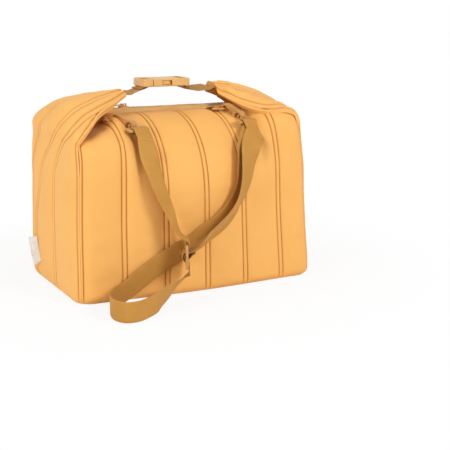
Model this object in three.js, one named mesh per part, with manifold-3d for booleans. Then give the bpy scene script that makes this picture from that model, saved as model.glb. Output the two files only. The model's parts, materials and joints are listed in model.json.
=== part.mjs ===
// Insulated bag whose two top ends fold over the zip and clip together as a carry handle,
// with an adjustable shoulder strap on two swivel snap hooks.
// Millimetres, +Z up, front towards -Y. The origin is the middle of the underside of the base.
import * as THREE from "three";
import { mergeVertices } from "three/addons/utils/BufferGeometryUtils.js";
import Module from "manifold-3d";

const wasm = await Module();
wasm.setup();

// Clearance between pieces that touch
const gap = 0.3;

// Bag body
const bodyLength = 330;
const bodyDepth = 190;
const cornerRadius = 20;
const frontBulge = 12;
const sideBulge = 3;
const topLean = 6;
const hemInset = 6;
const hemHeight = 12;
const shoulderStart = 110;
const ridgeRoof = 219;
const endRoof = 194;
const sideTop = 188;
const centreRoundness = 2.5;
const endRoundness = 8;
const seamOpening = 18;

// Layers of the wall
const panelThickness = 4;
const foamThickness = 5;
const linerThickness = 1;
const layerGap = 0.6;
const linerGap = 1.6;
const baseThickness = 2.7;
const baseFoamThickness = 4.6;

// Quilting
const channelWidth = 55;
const channelPuff = 2.2;

// Folded ears
const earThickness = 4;
const undersideThickness = 3;
const undersideHang = 14;
const earTipX = 66;
const earTipWidth = 38;
const earTipHeight = 249;

// Webbing
const webThickness = 1.4;
const handleWebWidth = 30;
const strapWidth = 25;

// Side-release buckle
const buckleWidth = 40;
const buckleThickness = 10;
const plugStart = -41;
const socketMouth = -27.3;
const socketEnd = 24.5;
const buckleBevel = 1.2;
const armThickness = 5;
const cavityDepth = 31.8;
const cavityHalfWidth = 16.9;
const windowStart = -15.4;
const windowEnd = -1.6;
const webBarWidth = 2.8;
const webBarHeight = 3;
const webSlotLength = 9.2;
const plugBarX = -34.6;
const socketBarX = 15.5;

// Zip
const zipLeft = -92;
const zipRight = 92;
const chainStart = -54;
const chainEnd = 88;
const chainHeight = 223.6;
const gripRoom = 27.4;
const buckleBottom = chainHeight + gripRoom;
const toothPitch = 5;
const toothThickness = 2.6;
const tapeThickness = 1.2;
const sliderX = -62;

// Snap hooks, D-rings and strap loops
const ringWire = 1.5;
const ringLength = 12;
const ringInnerWidth = 25.5;
const hookThickness = 8;
const eyeRadius = 3.9;
const clawWall = 3.3;
const collarY = -24;
const collarRadius = 7.6;
const collarWindow = 5;
const stemRadius = 1.9;
const headRadius = 4.1;
const loopBarY = -40.2;
const tabWidth = 24;
const tabTail = 16;
const hooks = {
  left: { grip: [-86.5, -41, 214.4], toward: [-72, -76], hookPitch: 14.5, tabPitch: 31 },
  right: { grip: [65.5, -41, 221.3], toward: [79, -76], hookPitch: 21, tabPitch: 4 },
};

// Strap adjuster
const adjusterCentre = new THREE.Vector3(-35, -131, 56);
const adjusterHeight = 30;
const adjusterWidth = 32;
const adjusterThickness = 3.4;
const adjusterBar = 3;
const adjusterYaw = Math.atan2(0.91, 0.41);

// Side tag
const tagReach = 11.5;
const tagThickness = 0.9;

const smooth = THREE.MathUtils.smoothstep;
const vec = (x, y, z) => new THREE.Vector3(x, y, z);
const degrees = THREE.MathUtils.degToRad;

const group = new THREE.Group();

// Materials
const finish = (color, roughness, metalness = 0) =>
  new THREE.MeshStandardMaterial({ color, roughness, metalness });
const panelCloth = finish("#f5b96c", 0.7);
const sideCloth = finish("#f3bd76", 0.7);
const webbing = finish("#b98a42", 0.8);
const plastic = finish("#dcae66", 0.4);
const foam = finish("#f2f2ee", 0.9);
const foil = finish("#cfd3d6", 0.3, 0.6);
const tapeCloth = finish("#dcb070", 0.8);
const tagCloth = finish("#f4f4f0", 0.9);

function add(name, geometry, material, parent = group) {
  const mesh = new THREE.Mesh(geometry, material);
  mesh.name = name;
  parent.add(mesh);
  return mesh;
}

// A closed body from vertices and triangles, turned to face out
function closedBody(points, triangles) {
  let volume = 0;
  const cross = new THREE.Vector3();
  for (const [a, b, c] of triangles) {
    volume += points[a].dot(cross.crossVectors(points[b], points[c]));
  }
  const geometry = new THREE.BufferGeometry();
  const flat = new Float32Array(points.flatMap((p) => [p.x, p.y, p.z]));
  geometry.setAttribute("position", new THREE.BufferAttribute(flat, 3));
  geometry.setIndex(triangles.flatMap(([a, b, c]) => (volume > 0 ? [a, b, c] : [a, c, b])));
  geometry.computeVertexNormals();
  return geometry;
}

// Rings of equal count joined one to the next, with a fan at each end
function loftBody(rings, closedAlong = false) {
  const count = rings[0].length;
  const points = rings.flat();
  const triangles = [];
  const last = closedAlong ? rings.length : rings.length - 1;
  for (let i = 0; i < last; i++) {
    const next = (i + 1) % rings.length;
    for (let j = 0; j < count; j++) {
      const k = (j + 1) % count;
      triangles.push([i * count + j, next * count + j, next * count + k]);
      triangles.push([i * count + j, next * count + k, i * count + k]);
    }
  }
  if (!closedAlong) {
    for (const [ring, flip] of [[0, false], [rings.length - 1, true]]) {
      const centre = rings[ring].reduce((sum, p) => sum.add(p), vec(0, 0, 0)).divideScalar(count);
      points.push(centre);
      const hub = points.length - 1;
      for (let j = 0; j < count; j++) {
        const a = ring * count + j;
        const b = ring * count + ((j + 1) % count);
        triangles.push(flip ? [hub, b, a] : [hub, a, b]);
      }
    }
  }
  return closedBody(points, triangles);
}

// A slab between two grids of points that share their rows and columns
function slabBody(outer, inner) {
  const rows = outer.length;
  const columns = outer[0].length;
  const points = [...outer.flat(), ...inner.flat()];
  const under = rows * columns;
  const at = (i, j) => i * columns + j;
  const triangles = [];
  const quad = (a, b, c, d) => triangles.push([a, b, c], [a, c, d]);
  for (let i = 0; i < rows - 1; i++) {
    for (let j = 0; j < columns - 1; j++) {
      quad(at(i, j), at(i, j + 1), at(i + 1, j + 1), at(i + 1, j));
      quad(under + at(i, j), under + at(i + 1, j), under + at(i + 1, j + 1), under + at(i, j + 1));
    }
  }
  for (let j = 0; j < columns - 1; j++) {
    const top = rows - 1;
    quad(at(0, j), under + at(0, j), under + at(0, j + 1), at(0, j + 1));
    quad(at(top, j), at(top, j + 1), under + at(top, j + 1), under + at(top, j));
  }
  for (let i = 0; i < rows - 1; i++) {
    const end = columns - 1;
    quad(at(i, 0), at(i + 1, 0), under + at(i + 1, 0), under + at(i, 0));
    quad(at(i, end), under + at(i, end), under + at(i + 1, end), at(i + 1, end));
  }
  return closedBody(points, triangles);
}

// Solids for cutting and joining
function solidOf(geometry) {
  const bare = geometry.clone();
  bare.deleteAttribute("normal");
  bare.deleteAttribute("uv");
  const merged = mergeVertices(bare, 1e-3);
  return new wasm.Manifold(
    new wasm.Mesh({
      numProp: 3,
      vertProperties: merged.attributes.position.array,
      triVerts: new Uint32Array(merged.index.array),
    }),
  );
}

function geometryOf(solid) {
  const mesh = solid.getMesh();
  const geometry = new THREE.BufferGeometry();
  const positions = new Float32Array(mesh.numVert * 3);
  for (let i = 0; i < mesh.numVert; i++) {
    positions.set(mesh.vertProperties.subarray(i * mesh.numProp, i * mesh.numProp + 3), i * 3);
  }
  geometry.setAttribute("position", new THREE.BufferAttribute(positions, 3));
  geometry.setIndex([...mesh.triVerts]);
  geometry.computeVertexNormals();
  return geometry;
}

function boxBetween(low, high) {
  const size = high.map((value, i) => value - low[i]);
  const box = new THREE.BoxGeometry(...size);
  return box.translate(...low.map((value, i) => value + size[i] / 2));
}

// Pieces are added to or cut from the first one, in the order they are named
function worked(first, ...steps) {
  let solid = solidOf(first);
  for (const { plus = [], minus = [] } of steps) {
    for (const piece of plus) solid = solid.add(solidOf(piece));
    for (const piece of minus) solid = solid.subtract(solidOf(piece));
  }
  return geometryOf(solid);
}

// Points of an outline without the repeats where lines and arcs meet
function cleanPoints(path) {
  const points = path.getPoints(4);
  return points.filter((p, i) => p.distanceTo(points[(i + 1) % points.length]) > 0.02);
}

// An outline in a plane, given thickness with rounded rims
function plate(shape, low, high, bevel = 0, segments = 1) {
  const outline = new THREE.Shape(cleanPoints(shape));
  outline.holes = shape.holes.map((hole) => new THREE.Path(cleanPoints(hole)));
  const geometry = new THREE.ExtrudeGeometry(outline, {
    depth: high - low - 2 * bevel,
    bevelEnabled: bevel > 0,
    bevelThickness: bevel,
    bevelSize: bevel,
    bevelOffset: -bevel,
    bevelSegments: segments,
  });
  return geometry.translate(0, 0, low + bevel);
}

function roundedOutline(left, right, halfWidth, leftRadius, rightRadius) {
  const shape = new THREE.Shape();
  shape.moveTo(left + leftRadius, -halfWidth);
  shape.lineTo(right - rightRadius, -halfWidth);
  shape.absarc(right - rightRadius, -halfWidth + rightRadius, rightRadius, -Math.PI / 2, 0);
  shape.absarc(right - rightRadius, halfWidth - rightRadius, rightRadius, 0, Math.PI / 2);
  shape.lineTo(left + leftRadius, halfWidth);
  shape.absarc(left + leftRadius, halfWidth - leftRadius, leftRadius, Math.PI / 2, Math.PI);
  shape.absarc(left + leftRadius, -halfWidth + leftRadius, leftRadius, Math.PI, 1.5 * Math.PI);
  return shape;
}

// Flat webbing along a route: each stop has a centre and the direction of its width
function ribbon(stops, width, thickness, stepLength = 8) {
  const centres = new THREE.CatmullRomCurve3(stops.map((s) => s.at), false, "centripetal");
  const spans = new THREE.CatmullRomCurve3(
    stops.map((s) => s.across.clone().normalize()),
    false,
    "centripetal",
  );
  const rings = [];
  const chordSum = stops.slice(1).map((s, i) => s.at.distanceTo(stops[i].at));
  for (let i = 0; i < stops.length - 1; i++) {
    const steps = Math.max(1, Math.round(chordSum[i] / stepLength));
    for (let k = 0; k < steps; k++) rings.push((i + k / steps) / (stops.length - 1));
  }
  rings.push(1);
  const sections = rings.map((t) => {
    const centre = centres.getPoint(t);
    const along = centres.getTangent(t);
    const across = spans.getPoint(t);
    across.addScaledVector(along, -across.dot(along)).normalize();
    const normal = new THREE.Vector3().crossVectors(along, across).normalize();
    const corner = (a, n) =>
      centre
        .clone()
        .addScaledVector(across, (a * width) / 2)
        .addScaledVector(normal, (n * thickness) / 2);
    return [corner(-1, -1), corner(1, -1), corner(1, 1), corner(-1, 1)];
  });
  return loftBody(sections);
}

const stop = (x, y, z, across) => ({ at: vec(x, y, z), across: vec(...across) });

// Body surface

const halfLength = bodyLength / 2;
const halfDepth = bodyDepth / 2;
const straightShare = 0.9;

const bulgeAt = (x) => frontBulge * Math.cos((Math.PI * x) / bodyLength) ** 2;
const roofAt = (x) => endRoof + (ridgeRoof - endRoof) * (1 - smooth(Math.abs(x), 50, 118));
const roundnessAt = (x) =>
  centreRoundness + (endRoundness - centreRoundness) * smooth(Math.abs(x), 80, 120);
const leanAt = (z) => 1 - (topLean / halfLength) * (z / sideTop);

// How far the hem at the bottom turns in at height z
function hemAt(z) {
  const t = Math.min(1, Math.max(0, (z - baseThickness - gap) / hemHeight));
  return hemInset * (1 - t) ** 2;
}

// Plan of the front wall: a bulged line that ends halfway round each upright corner
function frontPlan(c) {
  const reach = Math.abs(c);
  if (reach <= straightShare) {
    const x = (c / straightShare) * (halfLength - cornerRadius);
    return { x, y: -(halfDepth + bulgeAt(x)) };
  }
  const turn = ((reach - straightShare) / (1 - straightShare)) * (Math.PI / 4);
  const x = Math.sign(c) * (halfLength - cornerRadius + cornerRadius * Math.sin(turn));
  return { x, y: -(halfDepth + bulgeAt(x) - cornerRadius + cornerRadius * Math.cos(turn)) };
}

// Front surface: v runs 0 to 1 up the wall, and 1 to 2 over the shoulder to the zip
function frontSurface(c, v) {
  const plan = frontPlan(c);
  const low = baseThickness + gap;
  if (v <= 1) {
    const z = low + v * (shoulderStart - low);
    const swell = 0.963 + 0.037 * smooth(z, 0, shoulderStart);
    const inset = hemAt(z);
    return vec(
      plan.x * leanAt(z) * (1 - inset / halfLength),
      plan.y * swell * (1 - inset / halfDepth),
      z,
    );
  }
  const power = roundnessAt(plan.x);
  const endTurn = Math.acos((seamOpening / 2 / Math.abs(plan.y)) ** (power / 2));
  const turn = (v - 1) * endTurn;
  const z = shoulderStart + (roofAt(plan.x) - shoulderStart) * Math.sin(turn) ** (2 / power);
  const tuck = 0.05 * smooth(z, sideTop - 2, sideTop + 3) * (Math.abs(plan.x) / halfLength) ** 8;
  return vec(plan.x * leanAt(z) * (1 - tuck), plan.y * Math.cos(turn) ** (2 / power), z);
}

// Level of the top edge of the side panels, in the front surface's own measure
const cornerX = frontPlan(1).x;
const topTurn = Math.asin(
  ((sideTop - shoulderStart) / (roofAt(cornerX) - shoulderStart)) ** (roundnessAt(cornerX) / 2),
);
const cornerEndTurn = Math.acos(
  (seamOpening / 2 / Math.abs(frontPlan(1).y)) ** (roundnessAt(cornerX) / 2),
);
const topLevel = 1 + topTurn / cornerEndTurn;

// Left side surface: w runs from the front corner to the back corner
function sideSurface(w, v) {
  const corner = frontSurface(-1, v);
  const bend = cornerRadius * Math.SQRT1_2;
  const flat = Math.abs(corner.y) - bend;
  const front = Math.abs(corner.x) + cornerRadius * (1 - Math.SQRT1_2);
  const reach = Math.abs(w);
  if (reach <= straightShare) {
    const share = w / straightShare;
    const swell = sideBulge * (1 - share ** 2) * Math.sin((Math.PI * corner.z) / (sideTop + 20));
    return vec(-(front + swell), share * flat, corner.z);
  }
  const turn = ((reach - straightShare) / (1 - straightShare)) * (Math.PI / 4);
  return vec(
    -(front - cornerRadius + cornerRadius * Math.cos(turn)),
    Math.sign(w) * (flat + cornerRadius * Math.sin(turn)),
    corner.z,
  );
}

// Outward normal of a surface that is given by a function of two values
function outward(surface, a, b, limits) {
  const h = 1e-3;
  const [a0, a1, b0, b1] = limits;
  const left = surface(Math.max(a0, a - h), b);
  const right = surface(Math.min(a1, a + h), b);
  const down = surface(a, Math.max(b0, b - h));
  const up = surface(a, Math.min(b1, b + h));
  return right.sub(left).cross(up.sub(down)).normalize();
}

const frontLimits = [-1, 1, 0, 2];
const sideLimits = [-1, 1, 0, topLevel];

function offsetPoint(surface, a, b, limits, distance, sign = 1) {
  return surface(a, b).addScaledVector(outward(surface, a, b, limits), distance * sign);
}

function shell(surface, limits, sign, columns, rows, outerOffset, innerOffset) {
  const grid = (offset) =>
    rows.map((b) =>
      columns.map((a) => offsetPoint(surface, a, b, limits, offset(a, b), sign)),
    );
  return slabBody(grid(outerOffset), grid(innerOffset));
}

const wallLevels = [0, 0.04, 0.1, 0.5, 1];
const shoulderLevels = [1, 2, 3].map((k) => 1 + ((topLevel - 1) * k) / 3);
const roofLevels = [1, 2, 3, 4, 5].map((k) => topLevel + ((2 - topLevel) * k) / 5);
const panelLevels = [...wallLevels, ...shoulderLevels, ...roofLevels];
const sideLevels = [...wallLevels, ...shoulderLevels];

const cornerTrim = ((gap / 2 / cornerRadius) * (1 - straightShare)) / (Math.PI / 4);
const columnOf = (x) => (x / (halfLength - cornerRadius)) * straightShare;

function frontColumns(trim, spacing = channelWidth / 4) {
  const inner = [];
  for (let x = -2 * channelWidth; x <= 2 * channelWidth + 0.01; x += spacing) {
    inner.push(columnOf(x));
  }
  const side = [(columnOf(2 * channelWidth) + straightShare) / 2, straightShare, 0.95, 1 - trim];
  return [...side.map((c) => -c).reverse(), ...inner, ...side];
}

function sideColumns(trim) {
  const half = [0.225, 0.45, 0.675, straightShare, 0.95, 1 - trim];
  return [...half.map((w) => -w).reverse(), 0, ...half];
}

// Padding swells between the quilting seams and lies flat on them
function quiltFront(c, v) {
  const x = (Math.min(Math.abs(c), straightShare) / straightShare) * (halfLength - cornerRadius);
  const width = x > 2 * channelWidth ? cornerX - 2 * channelWidth : channelWidth;
  const start = x > 2 * channelWidth ? 2 * channelWidth : Math.floor(x / channelWidth + 1e-6) * channelWidth;
  const share = Math.abs(c) > straightShare ? 0 : Math.sin((Math.PI * (x - start)) / width);
  const fade = smooth(v, 0, 0.15) * (1 - smooth(v, 1.7, 2));
  return channelPuff * Math.abs(share) ** 0.7 * fade;
}

function quiltSide(w, v) {
  const reach = Math.abs(w);
  const share = reach > straightShare ? 0 : Math.sin((Math.PI * reach) / straightShare);
  return channelPuff * share ** 0.7 * smooth(v, 0, 0.15);
}

const mirrorY = new THREE.Matrix4().makeScale(1, -1, 1);
const mirrorX = new THREE.Matrix4().makeScale(-1, 1, 1);

// A mirrored copy with its faces turned out again
function mirrored(geometry, matrix) {
  const bare = geometry.clone();
  bare.deleteAttribute("normal");
  bare.deleteAttribute("uv");
  const copy = mergeVertices(bare, 1e-3).applyMatrix4(matrix);
  const index = copy.index.array;
  for (let i = 0; i < index.length; i += 3) {
    [index[i + 1], index[i + 2]] = [index[i + 2], index[i + 1]];
  }
  copy.computeVertexNormals();
  return copy;
}

// The front columns run towards +X, so the surface normal there points out;
// on the left side they run towards +Y, where it points in.
const frontSign = 1;
const sideSign = -1;

const frontPanel = shell(
  frontSurface, frontLimits, frontSign, frontColumns(cornerTrim), panelLevels,
  quiltFront, () => -panelThickness,
);
add("front_panel", frontPanel, panelCloth);
add("back_panel", mirrored(frontPanel, mirrorY), panelCloth);

const sidePanel = shell(
  sideSurface, sideLimits, sideSign, sideColumns(cornerTrim), sideLevels,
  quiltSide, () => -panelThickness,
);
add("left_side_panel", sidePanel, sideCloth);
add("right_side_panel", mirrored(sidePanel, mirrorX), sideCloth);

// Insulation boards just behind the panels
const foamOuter = panelThickness + layerGap;
const foamInner = foamOuter + foamThickness;
const foamTrim = cornerTrim * 4;
const foamLevels = [0.1, 0.5, 1, ...shoulderLevels.slice(0, 2)];
const frontFoamColumns = frontColumns(foamTrim, channelWidth / 2);
const frontFoam = shell(
  frontSurface, frontLimits, frontSign, frontFoamColumns, foamLevels,
  () => -foamOuter, () => -foamInner,
);
add("front_insulation", frontFoam, foam);
add("back_insulation", mirrored(frontFoam, mirrorY), foam);
const sideFoamColumns = [-1 + foamTrim, -0.95, -0.9, -0.45, 0, 0.45, 0.9, 0.95, 1 - foamTrim];
const sideFoam = shell(
  sideSurface, sideLimits, sideSign, sideFoamColumns, foamLevels,
  () => -foamOuter, () => -foamInner,
);
add("left_insulation", sideFoam, foam);
add("right_insulation", mirrored(sideFoam, mirrorX), foam);

// A loop right round the body at one level, set in from the outer face
function loopAround(level, depth, height = null) {
  const frontSteps = frontColumns(0, channelWidth / 2).slice(0, -1);
  const sideSteps = [-1, -0.95, -0.9, -0.45, 0, 0.45, 0.9, 0.95];
  const front = frontSteps.map((c) =>
    offsetPoint(frontSurface, c, level, frontLimits, -depth, frontSign),
  );
  const left = sideSteps.map((w) =>
    offsetPoint(sideSurface, w, level, sideLimits, -depth, sideSign),
  );
  const right = left.map((p) => vec(-p.x, p.y, p.z));
  const back = front.map((p) => vec(-p.x, -p.y, p.z));
  const leftBack = left.map((p) => vec(p.x, -p.y, p.z));
  const loop = [...front, ...right, ...back, ...leftBack];
  return height === null ? loop : loop.map((p) => vec(p.x, p.y, height));
}

// Base panel, its insulation, and the foil liner
const baseEdge = loopAround(0.04, 0);
const baseRing = (inset, z) =>
  baseEdge.map((p) => vec(p.x * (1 - inset / halfLength), p.y * (1 - inset / halfDepth), z));
const baseRim = 1;
add(
  "base_panel",
  loftBody([baseRing(1 + baseRim, 0), baseRing(1, baseRim), baseRing(1, baseThickness)]),
  panelCloth,
);
const baseFoamInset = panelThickness + foamThickness + layerGap;
const baseFoamBottom = baseThickness + gap;
add(
  "base_insulation",
  loftBody([
    baseRing(baseFoamInset, baseFoamBottom),
    baseRing(baseFoamInset, baseFoamBottom + baseFoamThickness),
  ]),
  foam,
);

const linerOuter = foamInner + linerGap;
const linerInner = linerOuter + linerThickness;
const linerFloor = baseFoamBottom + baseFoamThickness + gap;
const linerLevels = [0.12, 0.5, 1, ...shoulderLevels.slice(0, 2)];
add(
  "liner",
  loftBody([
    loopAround(0.1, linerOuter + 1, linerFloor),
    ...linerLevels.map((level) => loopAround(level, linerOuter)),
    ...[...linerLevels].reverse().map((level) => loopAround(level, linerInner)),
    loopAround(0.1, linerInner + 1, linerFloor + linerThickness),
  ]),
  foil,
);

// Ears: the side cloth goes on over the shoulder and inwards to a webbing-wide tip.
// Each stop along an ear has its middle line and its front edge.
const earStops = [
  { ridge: [-163.5, 205], edge: [-154, 75, 195] },
  { ridge: [-158, 223], edge: [-149, 71, 203.5] },
  { ridge: [-143, 235], edge: [-137, 62, 213] },
  { ridge: [-118, 242.5], edge: [-117, 47, 224] },
  { ridge: [-92, 246.5], edge: [-92, 30, 235] },
  { ridge: [-earTipX, earTipHeight], edge: [-earTipX, earTipWidth / 2, earTipHeight - 2] },
];

function earSurface(s, t) {
  const start = sideSurface(s * 0.985, topLevel);
  start.z += gap * 1.5;
  const fall = Math.abs(s) ** 2.2;
  const stops = earStops.map(({ ridge, edge }) =>
    vec(
      THREE.MathUtils.lerp(ridge[0], edge[0], fall),
      s * edge[1],
      THREE.MathUtils.lerp(ridge[1], edge[2], fall),
    ),
  );
  return new THREE.CatmullRomCurve3([start, ...stops], false, "centripetal").getPoint(t);
}

const earLimits = [-1, 1, 0, 1];
const earColumns = [-1, -0.8, -0.6, -0.4, -0.2, 0, 0.2, 0.4, 0.6, 0.8, 1];
const earRows = [0, 0.1, 0.2, 0.3, 0.4, 0.5, 0.62, 0.75, 0.88, 1];
const quiltEar = (s, t) => {
  const share = Math.sin(Math.PI * Math.min(1, Math.abs(s)));
  return channelPuff * Math.abs(share) ** 0.7 * smooth(t, 0, 0.2) * (1 - smooth(t, 0.7, 1));
};
const leftEar = shell(
  earSurface, earLimits, sideSign, earColumns, earRows, quiltEar, () => -earThickness,
);

// The underside is the zip's own end of the cloth, sewn to the ear along both edges
const undersideStart = 0.42;
const undersideEnd = 0.8;
function undersideTop(s, t) {
  const under = offsetPoint(earSurface, s, t, earLimits, -(earThickness + layerGap), sideSign);
  const along = (undersideEnd + 0.1 - t) / (undersideEnd + 0.1 - undersideStart);
  under.z -= undersideHang * along * (1 - s ** 2);
  return under;
}
const undersideColumns = [-0.95, -0.7, -0.45, -0.2, 0, 0.2, 0.45, 0.7, 0.95];
const undersideRows = [0, 1, 2, 3, 4].map(
  (k) => undersideStart + ((undersideEnd - undersideStart) * k) / 4,
);
const undersideGrid = (drop) =>
  undersideRows.map((t) =>
    undersideColumns.map((s) => undersideTop(s, t).sub(vec(0, 0, drop))),
  );
const leftUnderside = slabBody(undersideGrid(0), undersideGrid(undersideThickness));

add("left_ear", leftEar, sideCloth);
add("left_ear_underside", leftUnderside, panelCloth);
add("right_ear", mirrored(leftEar, mirrorX), sideCloth);
add("right_ear_underside", mirrored(leftUnderside, mirrorX), panelCloth);

// Handle webbing: a sewn end under each ear tip, and the free stretch to the buckle
const acrossY = [0, 1, 0];
const tipWebZ = earTipHeight - 6.5;
const tipOverlap = 1.6;
function webUnderEar(depth) {
  return [0.86, 0.92, 0.97].map((t) => {
    const half = handleWebWidth / 2 / earSurface(1, t).y;
    return [-1, -0.5, 0, 0.5, 1].map((share) =>
      offsetPoint(earSurface, share * half, t, earLimits, -depth, sideSign),
    );
  });
}
const anchorTop = earThickness + gap;
const leftAnchor = slabBody(webUnderEar(anchorTop), webUnderEar(anchorTop + webThickness));
add("left_web_anchor", leftAnchor, webbing);
add("right_web_anchor", mirrored(leftAnchor, mirrorX), webbing);

// The web comes in below the end of the buckle half, turns round the bar and is sewn to itself.
// side is 1 where the ear lies towards +X of the bar; dip is the slack between ear and buckle.
const barCentreZ = buckleBottom + 0.5 + webBarHeight / 2;
const foldRadius = Math.hypot(webBarWidth, webBarHeight) / 2 + gap + webThickness / 2;
function handleWeb(barX, side, dip) {
  const span = Math.abs(side * (earTipX + tipOverlap) - barX);
  const rim = buckleBottom - gap - webThickness / 2;
  const layer = webThickness + 0.45;
  const at = (reach, z) => stop(barX + side * reach, 0, z, acrossY);
  const turn = [-90, -135, 180, 135, 90, 45, 0].map((angle) => {
    const a = degrees(angle);
    return at(foldRadius * Math.cos(a), barCentreZ + foldRadius * Math.sin(a));
  });
  return ribbon(
    [
      at(span, tipWebZ),
      at(span - 5, tipWebZ),
      ...dip.map(([reach, z]) => at(reach, z)),
      at(15.5, rim - layer - 4.2),
      at(10, rim - layer - 1.6),
      at(4.4, rim - layer + 0.25),
      ...turn,
      at(foldRadius + 0.9, rim + 0.2),
      at(9.4, rim - 0.7),
      at(15, rim - 3.4),
    ],
    handleWebWidth,
    webThickness,
    5,
  );
}
add("left_handle_web", handleWeb(plugBarX, -1, [[21.5, 242]]), webbing);
add("right_handle_web", handleWeb(socketBarX, 1, [[36, 241.2], [22, 241.6]]), webbing);

// Buckle
const buckleTop = buckleBottom + buckleThickness;
const buckleMiddle = (buckleBottom + buckleTop) / 2;
const buckleHalf = buckleWidth / 2;
const webSlotHalf = handleWebWidth / 2 + 0.4;
const armLow = buckleMiddle - armThickness / 2;
const armHigh = buckleMiddle + armThickness / 2;

function webSlot(barX) {
  return boxBetween(
    [barX - webSlotLength / 2, -webSlotHalf, buckleBottom - 1],
    [barX + webSlotLength / 2, webSlotHalf, buckleTop + 1],
  );
}
function webBar(barX) {
  return boxBetween(
    [barX - webBarWidth / 2, -webSlotHalf - 1, buckleBottom + 0.5],
    [barX + webBarWidth / 2, webSlotHalf + 1, buckleBottom + 0.5 + webBarHeight],
  );
}

const plugFace = socketMouth - gap;
const plugBody = plate(
  roundedOutline(plugStart, plugFace, buckleHalf - 0.5, 5, 1.8),
  buckleBottom,
  buckleTop,
  buckleBevel,
);
const prongTip = windowStart + 8;
const prong = boxBetween([plugFace - 1, -4, armLow], [prongTip, 4, armHigh]);
add(
  "buckle_plug",
  worked(plugBody, { minus: [webSlot(plugBarX)] }, { plus: [webBar(plugBarX), prong] }),
  plastic,
);

// A latch arm: a sprung finger whose head fills the window in the socket's side
function latchArm() {
  const root = plugFace + 0.6;
  const headStart = windowStart + 0.4;
  const headSide = buckleHalf - 0.8;
  const shape = new THREE.Shape();
  shape.moveTo(root, 8.5);
  shape.bezierCurveTo(root + 6, 8.6, headStart - 4, 9.4, headStart + 5, 12);
  shape.quadraticCurveTo(windowEnd - 2, 12.4, windowEnd + 1, 10);
  shape.quadraticCurveTo(windowEnd + 3.6, 10.4, windowEnd + 2.4, 13.6);
  shape.quadraticCurveTo(windowEnd - 1.6, 17.6, windowEnd - 4.6, headSide);
  shape.lineTo(headStart + 1, headSide);
  shape.quadraticCurveTo(headStart, headSide, headStart, headSide - 1);
  shape.lineTo(headStart - 0.2, 14.2);
  shape.quadraticCurveTo(headStart - 4, 12.8, root, 12.5);
  return plate(shape, armLow, armHigh);
}
const backArm = latchArm();
add("buckle_latch_front", mirrored(backArm, mirrorY), plastic);
add("buckle_latch_back", backArm, plastic);

function buckleSocket() {
  const body = plate(
    roundedOutline(socketMouth, socketEnd, buckleHalf, 1.8, 5),
    buckleBottom,
    buckleTop,
    buckleBevel,
  );
  const armRoom = 0.45;
  const cavity = boxBetween(
    [socketMouth - 1, -cavityHalfWidth, armLow - armRoom],
    [socketMouth + cavityDepth, cavityHalfWidth, armHigh + armRoom],
  );
  const windows = boxBetween(
    [windowStart, -buckleHalf - 1, armLow - armRoom],
    [windowEnd, buckleHalf + 1, armHigh + armRoom],
  );
  return worked(
    body,
    { minus: [cavity, windows, webSlot(socketBarX)] },
    { plus: [webBar(socketBarX)] },
  );
}
add("buckle_socket", buckleSocket(), plastic);

// Zip: two tapes stand up from the roof to the chain
const roofEdgeZ = (x) => frontSurface(columnOf(x / leanAt(ridgeRoof)), 2).z;

function zipTape() {
  const faces = [1, -1].map((side) => {
    const columns = [];
    for (let x = zipLeft; x <= zipRight + 0.01; x += (zipRight - zipLeft) / 23) {
      const edge = roofEdgeZ(x);
      const line = [
        [-7.9, edge - 3],
        [-7.7, edge + 0.6],
        [-5.4, chainHeight - 0.6],
        [-3, chainHeight],
      ];
      columns.push(
        line.map(([y, z], i) => {
          const [y0, z0] = line[Math.max(0, i - 1)];
          const [y1, z1] = line[Math.min(line.length - 1, i + 1)];
          const length = Math.hypot(y1 - y0, z1 - z0);
          const half = (side * tapeThickness) / 2;
          return vec(x, y - (half * (z1 - z0)) / length, z + (half * (y1 - y0)) / length);
        }),
      );
    }
    return columns;
  });
  return slabBody(faces[0], faces[1]);
}
const frontTape = zipTape();
add("zip_tape_front", frontTape, tapeCloth);
add("zip_tape_back", mirrored(frontTape, mirrorY), tapeCloth);

// One side of the chain: a comb whose teeth reach between the teeth of the other side
function teethComb(side, shift) {
  const toothLength = 1.9;
  const spineOuter = 2.6;
  const spineInner = 1.6;
  const tip = -1.1;
  const shape = new THREE.Shape();
  const teeth = Math.round((chainEnd - chainStart) / toothPitch) - 1;
  const y = (value) => side * value;
  shape.moveTo(chainStart, y(spineOuter));
  shape.lineTo(chainStart, y(spineInner));
  for (let i = 0; i < teeth; i++) {
    const x = chainStart + shift + i * toothPitch;
    shape.lineTo(x, y(spineInner));
    shape.lineTo(x + 0.3, y(tip));
    shape.lineTo(x + toothLength - 0.3, y(tip));
    shape.lineTo(x + toothLength, y(spineInner));
  }
  shape.lineTo(chainEnd, y(spineInner));
  shape.lineTo(chainEnd, y(spineOuter));
  return plate(shape, chainHeight - toothThickness / 2, chainHeight + toothThickness / 2);
}
add("zip_teeth_front", teethComb(-1, 1), plastic);
add("zip_teeth_back", teethComb(1, 1 + toothPitch / 2), plastic);

// Slider: two plates on a divider, with an arch that holds the pull
const sliderHalfLength = 6.5;
const sliderHalfWidth = 4.6;
const sliderHalfHeight = 3;
const pullAxisZ = chainHeight + sliderHalfHeight + 1.3;

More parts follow.
